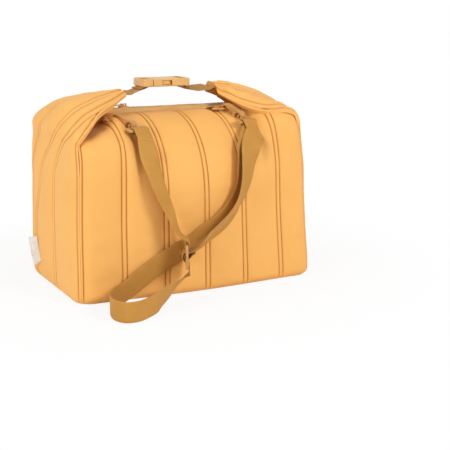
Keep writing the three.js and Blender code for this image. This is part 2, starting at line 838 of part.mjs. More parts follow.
function zipSlider() {
  const outline = roundedOutline(
    sliderX - sliderHalfLength, sliderX + sliderHalfLength, sliderHalfWidth, 3, 2,
  );
  const body = plate(
    outline, chainHeight - sliderHalfHeight, chainHeight + sliderHalfHeight, 0.5, 1,
  );
  const toothRoom = boxBetween(
    [sliderX - sliderHalfLength - 1, -3.4, chainHeight - 1.8],
    [sliderX + sliderHalfLength + 1, 3.4, chainHeight + 1.8],
  );
  const tapeRoom = boxBetween(
    [sliderX - sliderHalfLength - 1, -6, chainHeight - 1.4],
    [sliderX + sliderHalfLength + 1, 6, chainHeight + 1.2],
  );
  const divider = boxBetween(
    [sliderX - 5.5, -1, chainHeight - 2],
    [sliderX - 3, 1, chainHeight + 2],
  );
  const arch = boxBetween([sliderX - 4, -1.2, pullAxisZ - 2], [sliderX + 4, 1.2, pullAxisZ + 2]);
  const archRoom = boxBetween([sliderX - 2.8, -2, pullAxisZ - 1], [sliderX + 2.8, 2, pullAxisZ + 1]);
  return worked(
    body,
    { minus: [toothRoom, tapeRoom] },
    { plus: [divider, arch], minus: [archRoom] },
  );
}
add("zip_slider", zipSlider(), plastic);

function zipPull() {
  const axle = new THREE.CylinderGeometry(0.65, 0.65, 6, 12).translate(sliderX, 0, pullAxisZ);
  const outline = roundedOutline(sliderX - 20, sliderX + 0.65, 3.4, 3, 0.6);
  outline.holes.push(roundedOutline(sliderX - 6, sliderX, 2, 0.5, 0.1));
  outline.holes.push(roundedOutline(sliderX - 17, sliderX - 12, 1.3, 1.2, 1.2));
  return worked(plate(outline, pullAxisZ - 0.65, pullAxisZ + 0.65), { plus: [axle] });
}
add("zip_pull", zipPull(), plastic);

// Swivel snap hooks. Each has its own frame: the D-ring's wire passes through the origin,
// X runs along the wire, and the strap pulls towards -Y.
const loopHalfWidth = 16.5;
const loopDepth = 9.9;
const loopThickness = 3.6;
const loopBarDepth = 3.2;
const sewnTail = 11;
const sewnDroop = 1.2;
const strapFoldRadius = Math.hypot(loopBarDepth, loopThickness) / 2 + gap + webThickness / 2;

function pitchedFrame(origin, forward, pitch) {
  const level = vec(forward.x, forward.y, 0).normalize();
  const back = level.clone().multiplyScalar(-Math.cos(degrees(pitch)));
  back.z = Math.sin(degrees(pitch));
  const across = vec(back.y, -back.x, 0).normalize();
  const up = new THREE.Vector3().crossVectors(across, back);
  return new THREE.Matrix4().makeBasis(across, back, up).setPosition(origin);
}

function hookFrame({ grip, toward, hookPitch }) {
  const forward = vec(toward[0] - grip[0], toward[1] - grip[1], 0);
  return pitchedFrame(vec(...grip), forward, hookPitch);
}

// A flat piece drawn in the frame's Y and Z, given thickness along X
function sidePlate(shape, halfWidth, bevel = 0) {
  const turnToX = new THREE.Matrix4().makeBasis(vec(0, 1, 0), vec(0, 0, 1), vec(1, 0, 0));
  return plate(shape, -halfWidth, halfWidth, bevel).applyMatrix4(turnToX);
}

function polygon(points) {
  return new THREE.Shape(points.map(([x, y]) => new THREE.Vector2(x, y)));
}

const gatePivot = [-13.6, -5];
const gateHalf = 1.5;
const clawEnd = -115;

function hookBody() {
  const half = hookThickness / 2;
  const outer = eyeRadius + clawWall;
  const claw = new THREE.Shape();
  claw.absarc(0, 0, outer, degrees(150), degrees(clawEnd), true);
  claw.absarc(0, 0, eyeRadius, degrees(clawEnd), degrees(150), false);
  const spine = polygon([
    [-1, outer],
    [-2, eyeRadius - 0.4],
    [-5, 3.2],
    [-14, 1.2],
    [-15.5, -0.6],
    [-15.5, -6.6],
    [-21, -6.8],
    [-21, 6.6],
    [-12, 7],
  ]);
  const collar = new THREE.CylinderGeometry(collarRadius, collarRadius, 2 * half, 20);
  collar.rotateZ(Math.PI / 2).translate(0, collarY, 0);
  const window = new THREE.CylinderGeometry(collarWindow, collarWindow, 4 * half, 20);
  window.rotateZ(Math.PI / 2).translate(0, collarY, 0);
  const bore = new THREE.CylinderGeometry(stemRadius + gap, stemRadius + gap, 10, 16);
  bore.translate(0, collarY - 6, 0);
  return worked(sidePlate(claw, half, 0.8), {
    plus: [sidePlate(spine, half), collar],
    minus: [window, bore],
  });
}

function hookGate() {
  const shape = new THREE.Shape();
  const tip = -3.6;
  shape.absarc(gatePivot[0], gatePivot[1], gateHalf, Math.PI / 2, 1.5 * Math.PI, false);
  shape.lineTo(tip, gatePivot[1] - gateHalf);
  shape.lineTo(tip + 0.5, gatePivot[1] + gateHalf);
  return sidePlate(shape, hookThickness / 2 - 0.5);
}

function strapLoop() {
  const low = -loopThickness / 2;
  const near = loopBarY - loopBarDepth / 2;
  const outline = roundedOutline(-loopHalfWidth, loopHalfWidth, loopDepth / 2, 3.5, 3.5);
  const frame = plate(outline, low, -low, 0.6).translate(0, near + loopDepth / 2, 0);
  const slotNear = loopBarY + loopBarDepth / 2;
  const slot = boxBetween(
    [-strapWidth / 2 - 0.8, slotNear, -10],
    [strapWidth / 2 + 0.8, slotNear + 4.4, 10],
  );
  const stemLength = near + loopDepth - 0.5 - collarY;
  const stem = new THREE.CylinderGeometry(stemRadius, stemRadius, -stemLength, 16);
  stem.translate(0, collarY + stemLength / 2, 0);
  const profile = [[0, -2.2], [headRadius, -2.2], [headRadius, -0.8], [2.4, 2.2], [0, 2.2]];
  const head = new THREE.LatheGeometry(
    profile.map(([r, y]) => new THREE.Vector2(r, y)),
    20,
  ).translate(0, collarY, 0);
  const split = boxBetween([-0.5, collarY - 2.2, -6], [0.5, collarY + 4, 6]);
  split.translate(0, -collarY, 0).rotateY(degrees(45)).translate(0, collarY, 0);
  return worked(frame, { plus: [stem, head], minus: [slot, split] });
}

// A closed wire bent in the frame's XY plane
function wireLoop(path, radius, steps, sides = 6) {
  const curve = new THREE.CatmullRomCurve3(
    path.map(([x, y]) => vec(x, y, 0)),
    true,
    "centripetal",
  );
  const rings = [];
  for (let i = 0; i < steps; i++) {
    const centre = curve.getPointAt(i / steps);
    const along = curve.getTangentAt(i / steps);
    const side = vec(along.y, -along.x, 0).normalize();
    const ring = [];
    for (let k = 0; k < sides; k++) {
      const a = (k / sides) * 2 * Math.PI;
      ring.push(
        centre
          .clone()
          .addScaledVector(side, radius * Math.cos(a))
          .add(vec(0, 0, radius * Math.sin(a))),
      );
    }
    rings.push(ring);
  }
  return loftBody(rings, true);
}

function ringShape() {
  const half = ringInnerWidth / 2;
  const right = [
    [0, 0], [4, 0.4], [8, 1.7], [half - 0.6, 4.9], [half + 1.4, 8.6],
    [half + 1.3, ringLength - 1.2], [half - 0.2, ringLength], [half / 2, ringLength],
  ];
  const left = right.slice(1).map(([x, y]) => [-x, y]).reverse();
  return wireLoop([...right, [0, ringLength], ...left], ringWire, 32);
}

// Webbing folded round a bar: away is the direction it leaves in, outer the side of the
// running layer; the sewn end lies beneath it and may droop away from it.
function foldStops(bar, away, outer, across, radius, tail, droop = 0) {
  const at = (reach, rise) => ({
    at: bar.clone().addScaledVector(away, reach).addScaledVector(outer, rise),
    across,
  });
  const half = (webThickness + 0.4) / 2;
  const turn = [-90, -135, 180, 135, 90].map((angle) =>
    at(radius * Math.cos(degrees(angle)), radius * Math.sin(degrees(angle))),
  );
  const layer = [at(tail, -half - droop), at((tail + 7) / 2, -half - 0.4 - droop / 2), at(7, -half - 0.9)];
  const under = tail > 0 ? layer : [];
  return [...under, ...turn, at(7, half + 0.9), at(13, half)];
}

function squared(direction, across) {
  return direction.clone().addScaledVector(across, -direction.dot(across)).normalize();
}

// The web tab that holds a D-ring: round the ring's bar and back to the seam beside the zip
function ringTab({ grip, toward, tabPitch }) {
  const forward = vec(toward[0] - grip[0], toward[1] - grip[1], 0).normalize();
  const bar = vec(...grip).addScaledVector(forward, -ringLength);
  const frame = pitchedFrame(bar, forward, -tabPitch);
  const across = new THREE.Vector3().setFromMatrixColumn(frame, 0);
  const away = new THREE.Vector3().setFromMatrixColumn(frame, 1);
  const up = new THREE.Vector3().setFromMatrixColumn(frame, 2);
  const radius = ringWire + gap + webThickness / 2;
  return ribbon(foldStops(bar, away, up, across, radius, tabTail), tabWidth, webThickness, 5);
}

const sideFrames = {};
for (const [side, hook] of Object.entries(hooks)) {
  const frame = hookFrame(hook);
  sideFrames[side] = frame;
  const forward = vec(hook.toward[0] - hook.grip[0], hook.toward[1] - hook.grip[1], 0);
  const level = pitchedFrame(vec(...hook.grip), forward, 0);
  add(`${side}_ring_tab`, ringTab(hook), webbing);
  add(`${side}_d_ring`, ringShape().applyMatrix4(level), plastic);
  add(`${side}_hook_body`, hookBody().applyMatrix4(frame), plastic);
  add(`${side}_hook_gate`, hookGate().applyMatrix4(frame), plastic);
  add(`${side}_strap_loop`, strapLoop().applyMatrix4(frame), plastic);
}

// Shoulder strap
const adjusterAcross = vec(Math.cos(adjusterYaw), Math.sin(adjusterYaw), 0);
const adjusterOut = vec(Math.sin(adjusterYaw), -Math.cos(adjusterYaw), 0);
const adjusterUp = vec(0, 0, 1);
const adjusterPoint = (out, up, sideways = 0) =>
  adjusterCentre
    .clone()
    .addScaledVector(adjusterOut, out)
    .addScaledVector(adjusterUp, up)
    .addScaledVector(adjusterAcross, sideways);

function adjusterPlate() {
  const half = adjusterHeight / 2;
  const outline = roundedOutline(-adjusterWidth / 2, adjusterWidth / 2, half, 3, 3);
  const slots = [1, -1].map((side) => {
    const near = side * (adjusterBar / 2);
    const far = side * (half - adjusterBar);
    return boxBetween(
      [-strapWidth / 2 - 0.7, Math.min(near, far), -10],
      [strapWidth / 2 + 0.7, Math.max(near, far), 10],
    );
  });
  const body = plate(outline, -adjusterThickness / 2, adjusterThickness / 2, 0.7);
  const frame = new THREE.Matrix4()
    .makeBasis(adjusterAcross, adjusterUp, adjusterOut)
    .setPosition(adjusterCentre);
  return worked(body, { minus: slots }).applyMatrix4(frame);
}
add("strap_adjuster", adjusterPlate(), plastic);

const adjusterFoldRadius = Math.hypot(adjusterBar, adjusterThickness) / 2 + gap + webThickness / 2;
const overBar = adjusterThickness / 2 + gap + webThickness / 2 + 0.15;
const behindFold = -(adjusterFoldRadius + webThickness + gap + 0.1);
const across = (x, y, z) => vec(x, y, z).normalize();

function loopBar(side) {
  return vec(0, loopBarY, 0).applyMatrix4(sideFrames[side]);
}
const acrossLoop = (side) => new THREE.Vector3().setFromMatrixColumn(sideFrames[side], 0);

function strapLeftRun() {
  const bar = loopBar("left");
  const wide = acrossLoop("left");
  const away = squared(vec(-70, -95, 186).sub(bar), wide);
  const outer = new THREE.Vector3().crossVectors(away, wide).normalize();
  if (outer.y > 0) outer.negate();
  return ribbon(
    [
      ...foldStops(bar, away, outer, wide, strapFoldRadius, sewnTail),
      { at: vec(-69.5, -101, 176), across: across(1, 0.3, 0.1) },
      { at: vec(-66, -107, 158), across: across(1, 0.3, 0.1) },
      { at: vec(-60, -114, 135), across: across(1, 0.5, 0) },
      { at: vec(-52, -117, 110), across: across(0.8, 0.6, 0) },
      { at: vec(-42, -125, 82), across: across(0.5, 0.85, 0) },
      ...[17, 14, 11.2].map((up) => ({ at: adjusterPoint(overBar, up), across: adjusterAcross })),
      ...[2.5, -2.5].map((up) => ({ at: adjusterPoint(behindFold, up), across: adjusterAcross })),
      ...[-11.2, -14, -19].map((up) => ({ at: adjusterPoint(overBar, up), across: adjusterAcross })),
    ],
    strapWidth,
    webThickness,
    7,
  );
}
add("strap_left_run", strapLeftRun(), webbing);

const upright = vec(0, 0, 1);
const strapFall = ribbon(
  [
    { at: adjusterPoint(overBar, -19.4), across: adjusterAcross },
    { at: adjusterPoint(overBar, -23), across: adjusterAcross },
    { at: vec(-40, -134.5, 25), across: across(-0.2, 0.75, 0.5) },
    { at: vec(-54, -136.5, 15.8), across: across(-0.2, 0.2, 0.95) },
    { at: vec(-62, -139, 14.5), across: upright },
    { at: vec(-66, -141.4, 14.2), across: upright },
  ],
  strapWidth,
  webThickness,
  4,
);
add("strap_fall", strapFall, webbing);

const floorZ = strapWidth / 2 + 0.6;
const floorRoute = [
  [-86, -158], [-105, -177], [-124, -189], [-138, -187], [-145, -174],
  [-144, -155], [-135, -136], [-122, -122],
];
const floorLoop = ribbon(
  [
    { at: vec(-66.35, -141.6, 14.17), across: upright },
    { at: vec(-70, -143.8, 13.8), across: upright },
    ...floorRoute.map(([x, y]) => ({ at: vec(x, y, floorZ), across: upright })),
    { at: vec(-109, -115.2, 16.6), across: across(-0.2, 0, 1) },
    { at: vec(-105, -114, 18.2), across: across(-0.2, 0, 1) },
  ],
  strapWidth,
  webThickness,
  9,
);
add("strap_floor_loop", floorLoop, webbing);

const lean = across(-0.45, 0, 0.9);
function strapRightInner(end, wide) {
  return ribbon(
    [
      { at: vec(-104.6, -113.88, 18.36), across: across(-0.2, 0, 1) },
      { at: vec(-101, -112.9, 19.8), across: across(-0.2, 0, 1) },
      { at: vec(-90, -111.5, 27), across: lean },
      { at: vec(-70, -111, 39), across: lean },
      { at: vec(-50, -111.5, 50), across: lean },
      { at: vec(-37, -112, 56), across: lean },
      { at: vec(-20, -112, 64), across: across(-0.5, 0, 0.86) },
      { at: vec(0, -111.8, 76), across: across(-0.55, 0, 0.83) },
      { at: vec(16, -111.5, 93), across: across(-0.75, 0, 0.65) },
      { at: vec(30, -110, 113), across: across(-0.85, 0, 0.5) },
      { at: vec(42, -107.5, 136), across: across(-0.93, -0.05, 0.35) },
      { at: vec(52, -102.5, 158), across: across(-0.97, -0.1, 0.2) },
      { at: vec(61, -94, 178), across: across(-1, -0.2, 0.1) },
      { at: vec(70, -88.5, 190), across: across(-1, -0.3, 0.1) },
      ...end.map((point) => ({ at: point, across: wide.clone().negate() })),
    ],
    strapWidth,
    webThickness,
    9,
  );
}

function strapRight() {
  const bar = loopBar("right");
  const wide = acrossLoop("right");
  const away = squared(vec(76, -99, 186).sub(bar), wide);
  const outer = new THREE.Vector3().crossVectors(away, wide).normalize();
  if (outer.y > 0) outer.negate();
  const turn = foldStops(bar, away, outer, wide, strapFoldRadius, 0);
  const half = (webThickness + 0.4) / 2;
  const inner = ribbonEnd(bar, away, outer, half);
  const ringBack = adjusterPoint(0, 0);
  const leave = squared(adjusterPoint(15, 10).sub(ringBack), adjusterAcross);
  const top = new THREE.Vector3().crossVectors(leave, adjusterAcross).normalize();
  if (top.z < 0) top.negate();
  const sewn = foldStops(ringBack, leave, top, adjusterAcross, adjusterFoldRadius, sewnTail, sewnDroop);
  const outerRun = ribbon(
    [
      ...turn,
      { at: vec(75, -101, 181), across: across(1, 0.15, 0) },
      { at: vec(69.5, -108.5, 163), across: across(1, 0.1, -0.1) },
      { at: vec(59.5, -114.5, 138), across: across(0.85, 0.1, -0.5) },
      { at: vec(44.5, -118, 117), across: across(0.7, 0.3, -0.6) },
      { at: vec(29, -120, 100), across: across(0.6, 0.45, -0.6) },
      { at: vec(14, -122.5, 88), across: across(0.55, 0.6, -0.5) },
      { at: vec(-2, -127, 77), across: across(0.5, 0.8, -0.3) },
      ...sewn.reverse(),
    ],
    strapWidth,
    webThickness,
    8,
  );
  return { outerRun, innerRun: strapRightInner(inner, wide) };
}

function ribbonEnd(bar, away, outer, half) {
  const at = (reach, rise) =>
    bar.clone().addScaledVector(away, reach).addScaledVector(outer, rise);
  return [at(7, -half - 0.9), at(0.9, -strapFoldRadius)];
}
const rightStrap = strapRight();
add("strap_right_inner", rightStrap.innerRun, webbing);
add("strap_right_outer", rightStrap.outerRun, webbing);

// Plain tag sewn low on the left side by its inner edge; the rest stands out as a flag
function sideTag() {
  const seamTop = { w: 0.69, level: 0.486 };
  const seamFoot = { w: 0.48, level: 0.215 };
  const faces = [];
  for (const side of [tagThickness / 2, -tagThickness / 2]) {
    const rows = [];
    for (const down of [0, 1 / 3, 2 / 3, 1]) {
      const w = THREE.MathUtils.lerp(seamTop.w, seamFoot.w, down);
      const level = THREE.MathUtils.lerp(seamTop.level, seamFoot.level, down);
      const seam = offsetPoint(sideSurface, w, level, sideLimits, quiltSide(w, level) + gap, sideSign);
      const reach = vec(-0.93, 0.35, -0.12).lerp(vec(-0.87, 0, -0.49), down).normalize();
      const across = vec(0.35, 0.93, 0).multiplyScalar(side);
      rows.push([0.04, 0.5, 1].map((share) =>
        seam.clone().addScaledVector(reach, share * tagReach).add(across),
      ));
    }
    faces.push(rows);
  }
  return slabBody(faces[0], faces[1]);
}
add("side_tag", sideTag(), tagCloth);

export default group;
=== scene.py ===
# %% [markdown]
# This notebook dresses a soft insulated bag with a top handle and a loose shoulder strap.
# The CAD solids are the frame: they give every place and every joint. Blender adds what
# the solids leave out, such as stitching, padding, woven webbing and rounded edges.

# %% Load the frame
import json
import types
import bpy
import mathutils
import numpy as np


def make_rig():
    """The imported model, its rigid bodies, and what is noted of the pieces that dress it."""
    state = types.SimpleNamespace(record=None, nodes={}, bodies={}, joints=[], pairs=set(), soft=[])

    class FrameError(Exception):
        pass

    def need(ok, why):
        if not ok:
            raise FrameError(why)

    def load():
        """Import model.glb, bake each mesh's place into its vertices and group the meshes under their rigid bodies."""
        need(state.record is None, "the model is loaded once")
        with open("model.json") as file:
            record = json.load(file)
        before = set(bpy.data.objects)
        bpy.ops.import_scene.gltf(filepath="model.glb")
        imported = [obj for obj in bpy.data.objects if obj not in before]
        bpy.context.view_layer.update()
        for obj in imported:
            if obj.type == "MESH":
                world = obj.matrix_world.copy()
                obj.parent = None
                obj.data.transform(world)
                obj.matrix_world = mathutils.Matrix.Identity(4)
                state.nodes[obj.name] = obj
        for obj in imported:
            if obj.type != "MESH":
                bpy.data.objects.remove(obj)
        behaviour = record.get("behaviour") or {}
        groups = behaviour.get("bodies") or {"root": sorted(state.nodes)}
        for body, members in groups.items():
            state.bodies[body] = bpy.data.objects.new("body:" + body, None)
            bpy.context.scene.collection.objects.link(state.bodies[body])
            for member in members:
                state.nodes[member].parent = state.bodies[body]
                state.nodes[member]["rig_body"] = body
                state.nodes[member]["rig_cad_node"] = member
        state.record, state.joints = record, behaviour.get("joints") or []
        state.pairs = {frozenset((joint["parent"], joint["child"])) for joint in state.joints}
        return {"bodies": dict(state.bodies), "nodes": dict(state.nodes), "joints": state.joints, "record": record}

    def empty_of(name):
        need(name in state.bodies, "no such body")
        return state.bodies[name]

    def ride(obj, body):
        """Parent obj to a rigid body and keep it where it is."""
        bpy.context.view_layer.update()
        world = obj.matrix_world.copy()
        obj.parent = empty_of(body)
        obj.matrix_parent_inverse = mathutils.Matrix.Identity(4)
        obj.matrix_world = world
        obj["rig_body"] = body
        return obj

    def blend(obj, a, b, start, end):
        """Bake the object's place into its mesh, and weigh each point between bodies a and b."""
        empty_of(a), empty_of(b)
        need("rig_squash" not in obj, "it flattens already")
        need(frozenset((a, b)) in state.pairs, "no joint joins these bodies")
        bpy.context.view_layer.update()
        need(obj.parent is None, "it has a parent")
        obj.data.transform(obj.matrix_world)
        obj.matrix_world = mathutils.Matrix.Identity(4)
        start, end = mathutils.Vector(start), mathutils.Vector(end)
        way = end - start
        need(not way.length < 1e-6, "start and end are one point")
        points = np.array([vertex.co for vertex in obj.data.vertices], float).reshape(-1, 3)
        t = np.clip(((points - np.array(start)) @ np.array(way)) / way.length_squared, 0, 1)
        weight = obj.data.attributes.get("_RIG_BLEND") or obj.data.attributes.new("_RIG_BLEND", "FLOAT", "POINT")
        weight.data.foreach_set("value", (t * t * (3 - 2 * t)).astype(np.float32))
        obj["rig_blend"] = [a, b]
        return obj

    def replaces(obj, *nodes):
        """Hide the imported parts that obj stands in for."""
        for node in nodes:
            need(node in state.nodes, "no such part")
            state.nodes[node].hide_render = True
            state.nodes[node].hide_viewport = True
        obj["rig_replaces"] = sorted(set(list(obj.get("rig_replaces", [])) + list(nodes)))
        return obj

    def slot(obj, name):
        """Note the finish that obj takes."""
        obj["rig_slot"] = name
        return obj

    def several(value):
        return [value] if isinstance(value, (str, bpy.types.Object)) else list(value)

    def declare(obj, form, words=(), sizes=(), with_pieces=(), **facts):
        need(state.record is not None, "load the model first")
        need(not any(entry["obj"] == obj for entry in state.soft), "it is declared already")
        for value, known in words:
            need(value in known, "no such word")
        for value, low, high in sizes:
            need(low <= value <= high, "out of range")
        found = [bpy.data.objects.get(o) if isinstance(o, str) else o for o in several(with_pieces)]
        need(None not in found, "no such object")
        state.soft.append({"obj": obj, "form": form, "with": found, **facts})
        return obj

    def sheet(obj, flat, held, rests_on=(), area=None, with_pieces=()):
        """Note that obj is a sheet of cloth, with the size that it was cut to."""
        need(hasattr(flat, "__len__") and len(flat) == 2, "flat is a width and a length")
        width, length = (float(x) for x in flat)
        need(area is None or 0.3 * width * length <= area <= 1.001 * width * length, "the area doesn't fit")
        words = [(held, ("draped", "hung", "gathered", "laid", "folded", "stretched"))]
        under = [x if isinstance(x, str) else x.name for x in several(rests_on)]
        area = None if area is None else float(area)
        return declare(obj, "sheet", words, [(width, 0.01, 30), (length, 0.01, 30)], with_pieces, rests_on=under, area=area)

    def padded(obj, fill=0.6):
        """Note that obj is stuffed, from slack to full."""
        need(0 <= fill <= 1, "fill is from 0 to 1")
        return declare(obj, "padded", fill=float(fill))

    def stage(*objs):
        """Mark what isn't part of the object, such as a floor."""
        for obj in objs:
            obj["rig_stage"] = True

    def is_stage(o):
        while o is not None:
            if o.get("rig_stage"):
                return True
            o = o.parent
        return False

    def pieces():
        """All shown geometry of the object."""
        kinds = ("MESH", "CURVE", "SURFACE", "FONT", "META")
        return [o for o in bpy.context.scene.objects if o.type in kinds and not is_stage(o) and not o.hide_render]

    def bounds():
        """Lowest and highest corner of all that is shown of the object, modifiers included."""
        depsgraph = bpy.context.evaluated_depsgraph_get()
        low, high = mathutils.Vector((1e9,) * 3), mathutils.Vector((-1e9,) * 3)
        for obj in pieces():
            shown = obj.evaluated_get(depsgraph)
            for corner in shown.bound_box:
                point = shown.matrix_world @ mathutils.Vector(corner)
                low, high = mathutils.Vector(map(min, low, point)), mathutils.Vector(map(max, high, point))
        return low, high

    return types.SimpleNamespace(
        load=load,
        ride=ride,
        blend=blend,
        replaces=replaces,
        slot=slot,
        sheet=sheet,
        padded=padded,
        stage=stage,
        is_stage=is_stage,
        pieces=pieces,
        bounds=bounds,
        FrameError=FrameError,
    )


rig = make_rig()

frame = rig.load()

import json
import math
from collections import namedtuple

import bmesh
import bpy
import numpy as np
from mathutils import Matrix, Vector, noise

cad_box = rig.bounds()
scene = bpy.context.scene
print("frame:", len(frame["nodes"]), "nodes on", len(frame["bodies"]), "bodies")

# %% [markdown]
# The camera comes first, because everything else is judged through it. A photographer
# stood to the left of the bag, a little above it, with a fairly long lens, which keeps
# the upright edges nearly parallel. A camera object only needs a place and a direction.

# %% Camera
CAMERA_PLACE = Vector((-0.5349, -1.2013, 0.3542))
CAMERA_TARGET = Vector((0.0644, -0.0393, 0.0654))
camera_data = bpy.data.cameras.new("camera")
camera_data.lens = 80
camera_data.sensor_width = 36
camera = bpy.data.objects.new("camera", camera_data)
scene.collection.objects.link(camera)
camera.location = CAMERA_PLACE
camera.rotation_euler = (CAMERA_TARGET - CAMERA_PLACE).to_track_quat("-Z", "Y").to_euler()
scene.camera = camera
print("camera to bag: %.2f m" % CAMERA_PLACE.length)

# %% [markdown]
# A soft bag shows its padding through gentle shading, so the light is broad. One large
# lamp stands at the front right, so the straps cast their shadows to the left. Another
# fills the left end, and one hangs above. The world adds an even white. The view
# transform is Standard, so that a colour looks as it was written.

# %% Light and world
LAMP_TARGET = Vector((0, 0, 0.1))
scene.view_settings.view_transform = "Standard"


def area_lamp(name, place, size, power):
    """A square lamp that points at the middle of the bag."""
    data = bpy.data.lights.new(name, "AREA")
    data.size = size
    data.energy = power
    lamp = bpy.data.objects.new(name, data)
    scene.collection.objects.link(lamp)
    lamp.location = place
    aim = LAMP_TARGET - Vector(place)
    lamp.rotation_euler = aim.to_track_quat("-Z", "Y").to_euler()


area_lamp("key_lamp", (0.95, -1.9, 1.4), size=0.7, power=27)
area_lamp("fill_lamp", (-2.0, -0.6, 0.7), size=1.3, power=20)
area_lamp("top_lamp", (-0.2, 0.4, 2.0), size=1.2, power=4)


class Shaders:
    """The node tree of a material or of the world, emptied and ready to be filled."""

    def __init__(self, owner):
        owner.use_nodes = True
        self.nodes = owner.node_tree.nodes
        self.links = owner.node_tree.links
        self.nodes.clear()

    def node(self, kind, settings=None, **values):
        """Adds a node, sets its properties and the named input values."""
        made = self.nodes.new("ShaderNode" + kind)
        for key, value in (settings or {}).items():
            setattr(made, key, value)
        for key, value in values.items():
            made.inputs[key.replace("_", " ")].default_value = value
        return made

    def link(self, source, target, slot):
        """Joins an output, or the first output of a node, to an input of another node."""
        output = source if isinstance(source, bpy.types.NodeSocket) else source.outputs[0]
        self.links.new(output, target.inputs[slot])
        return target

    def seen_directly(self):
        """1 where the camera, a mirror or glass looks straight at the surface, otherwise 0."""
        path = self.node("LightPath")
        total = path.outputs["Is Camera Ray"]
        for name in ("Is Glossy Ray", "Is Transmission Ray"):
            add = self.node("Math", {"operation": "ADD", "use_clamp": True})
            self.link(total, add, 0)
            self.link(path.outputs[name], add, 1)
            total = add
        return total

    def mix(self, share, first, second, output):
        """Mixes two shaders by a share and hands the result to an output node."""
        mixed = self.node("MixShader")
        for slot, source in enumerate((share, first, second)):
            self.link(source, mixed, slot)
        self.link(mixed, self.node(output), 0)


AMBIENT = 0.55
world = bpy.data.worlds.new("studio")
scene.world = world
sky = Shaders(world)
ambient = sky.node("Background", Color=(1.0, 1.0, 0.98, 1), Strength=AMBIENT)
white = sky.node("Background", Color=(1, 1, 1, 1), Strength=1.0)
sky.mix(sky.seen_directly(), ambient, white, "OutputWorld")
print("world: ambient", AMBIENT)

# %% [markdown]
# The floor is a plain pale sheet. Near the bag a part of it is an ordinary matte surface,
# so it still takes the bag's soft shadow. The rest glows white for the camera, and the
# glow takes over with distance, so the floor melts into the background.

# %% Floor
FLOOR_SIZE = 6.0
GLOW_NEAR = 0.86
FADE_FROM, FADE_TO = 0.16, 0.5
floor_mesh = bpy.data.meshes.new("floor")
corners = [(-FLOOR_SIZE, -FLOOR_SIZE, 0), (FLOOR_SIZE, -FLOOR_SIZE, 0),
           (FLOOR_SIZE, FLOOR_SIZE, 0), (-FLOOR_SIZE, FLOOR_SIZE, 0)]
floor_mesh.from_pydata(corners, [], [(0, 1, 2, 3)])
floor = bpy.data.objects.new("floor", floor_mesh)
scene.collection.objects.link(floor)
floor_material = bpy.data.materials.new("white_floor")
ground = Shaders(floor_material)
distance = ground.node("VectorMath", {"operation": "LENGTH"})
ground.link(ground.node("TexCoord").outputs["Object"], distance, 0)
fade = ground.node("MapRange", {"interpolation_type": "SMOOTHSTEP"}, From_Min=FADE_FROM,
                   From_Max=FADE_TO, To_Min=GLOW_NEAR, To_Max=1.0)
ground.link(distance.outputs["Value"], fade, "Value")
glow_share = ground.node("Math", {"operation": "MULTIPLY"})
ground.link(ground.seen_directly(), glow_share, 0)
ground.link(fade, glow_share, 1)
matte = ground.node("BsdfDiffuse", Color=(0.9, 0.9, 0.9, 1))
glow = ground.node("Emission", Strength=1.0)
ground.mix(glow_share, matte, glow, "OutputMaterial")
floor_mesh.materials.append(floor_material)
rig.stage(floor)
print("floor:", 2 * FLOOR_SIZE, "m wide")

# %% [markdown]
# Every finish is a small tree of nodes. The helpers below keep those trees readable: one
# starts a material, one adds a node with its settings, and one turns a height into bump.
# Patterns that follow the cloth read the piece's UV map, which is written in metres, so
# one weave has the same size on every piece.


# %% Material helpers
def srgb(red, green, blue):
    """A colour from 0 to 255 as linear light."""
    linear = []
    for value in (red, green, blue):
        v = value / 255
        linear.append(v / 12.92 if v <= 0.04045 else ((v + 0.055) / 1.055) ** 2.4)
    return (*linear, 1)


class Finish(Shaders):
    """A material under construction, with its main shader."""

    def __init__(self, name, roughness, sheen=0.0, specular=0.5, metallic=0.0):
        self.material = bpy.data.materials.new(name)
        super().__init__(self.material)
        self.shader = self.node("BsdfPrincipled", Roughness=roughness, Sheen_Weight=sheen,
                                Sheen_Roughness=0.4, Specular_IOR_Level=specular, Metallic=metallic)
        self.link(self.shader, self.node("OutputMaterial"), "Surface")

    def math(self, operation, first, second):
        """A Math node whose inputs are numbers or other nodes."""
        made = self.node("Math", {"operation": operation})
        for slot, value in enumerate((first, second)):
            if isinstance(value, (int, float)):
                made.inputs[slot].default_value = value
            else:
                self.link(value, made, slot)
        return made

    def place(self, kind):
        """Texture coordinates: UV, or Object for those of the piece's own space."""
        return self.node("TexCoord").outputs[kind]

    def noise(self, scale, detail, kind="Object"):
        made = self.node("TexNoise", Scale=scale, Detail=detail)
        return self.link(self.place(kind), made, "Vector")

    def waves(self, direction, pitch, **values):
        """Height of even bands on the UV map, one for every pitch in metres."""
        made = self.node("TexWave", {"bands_direction": direction},
                         Scale=math.pi / 10 / pitch, **values)
        return self.link(self.place("UV"), made, "Vector").outputs["Fac"]

    def ramp(self, source, stops):
        """A colour ramp through (position, colour) stops."""
        made = self.node("ValToRGB")
        elements = made.color_ramp.elements
        elements[0].position, elements[0].color = stops[0]
        elements[1].position, elements[1].color = stops[-1]
        for position, colour in stops[1:-1]:
            elements.new(position).color = colour
        self.link(source, made, "Fac")
        return made

    def bump(self, height, strength, distance, below=None):
        made = self.node("Bump", Strength=strength, Distance=distance)
        self.link(height, made, "Height")
        if below is not None:
            self.link(below, made, "Normal")
        return made

    def finish(self, colour=None, normal=None, roughness=None):
        for slot, source in (("Base Color", colour), ("Normal", normal), ("Roughness", roughness)):
            if source is not None:
                self.link(source, self.shader, slot)
        return self.material


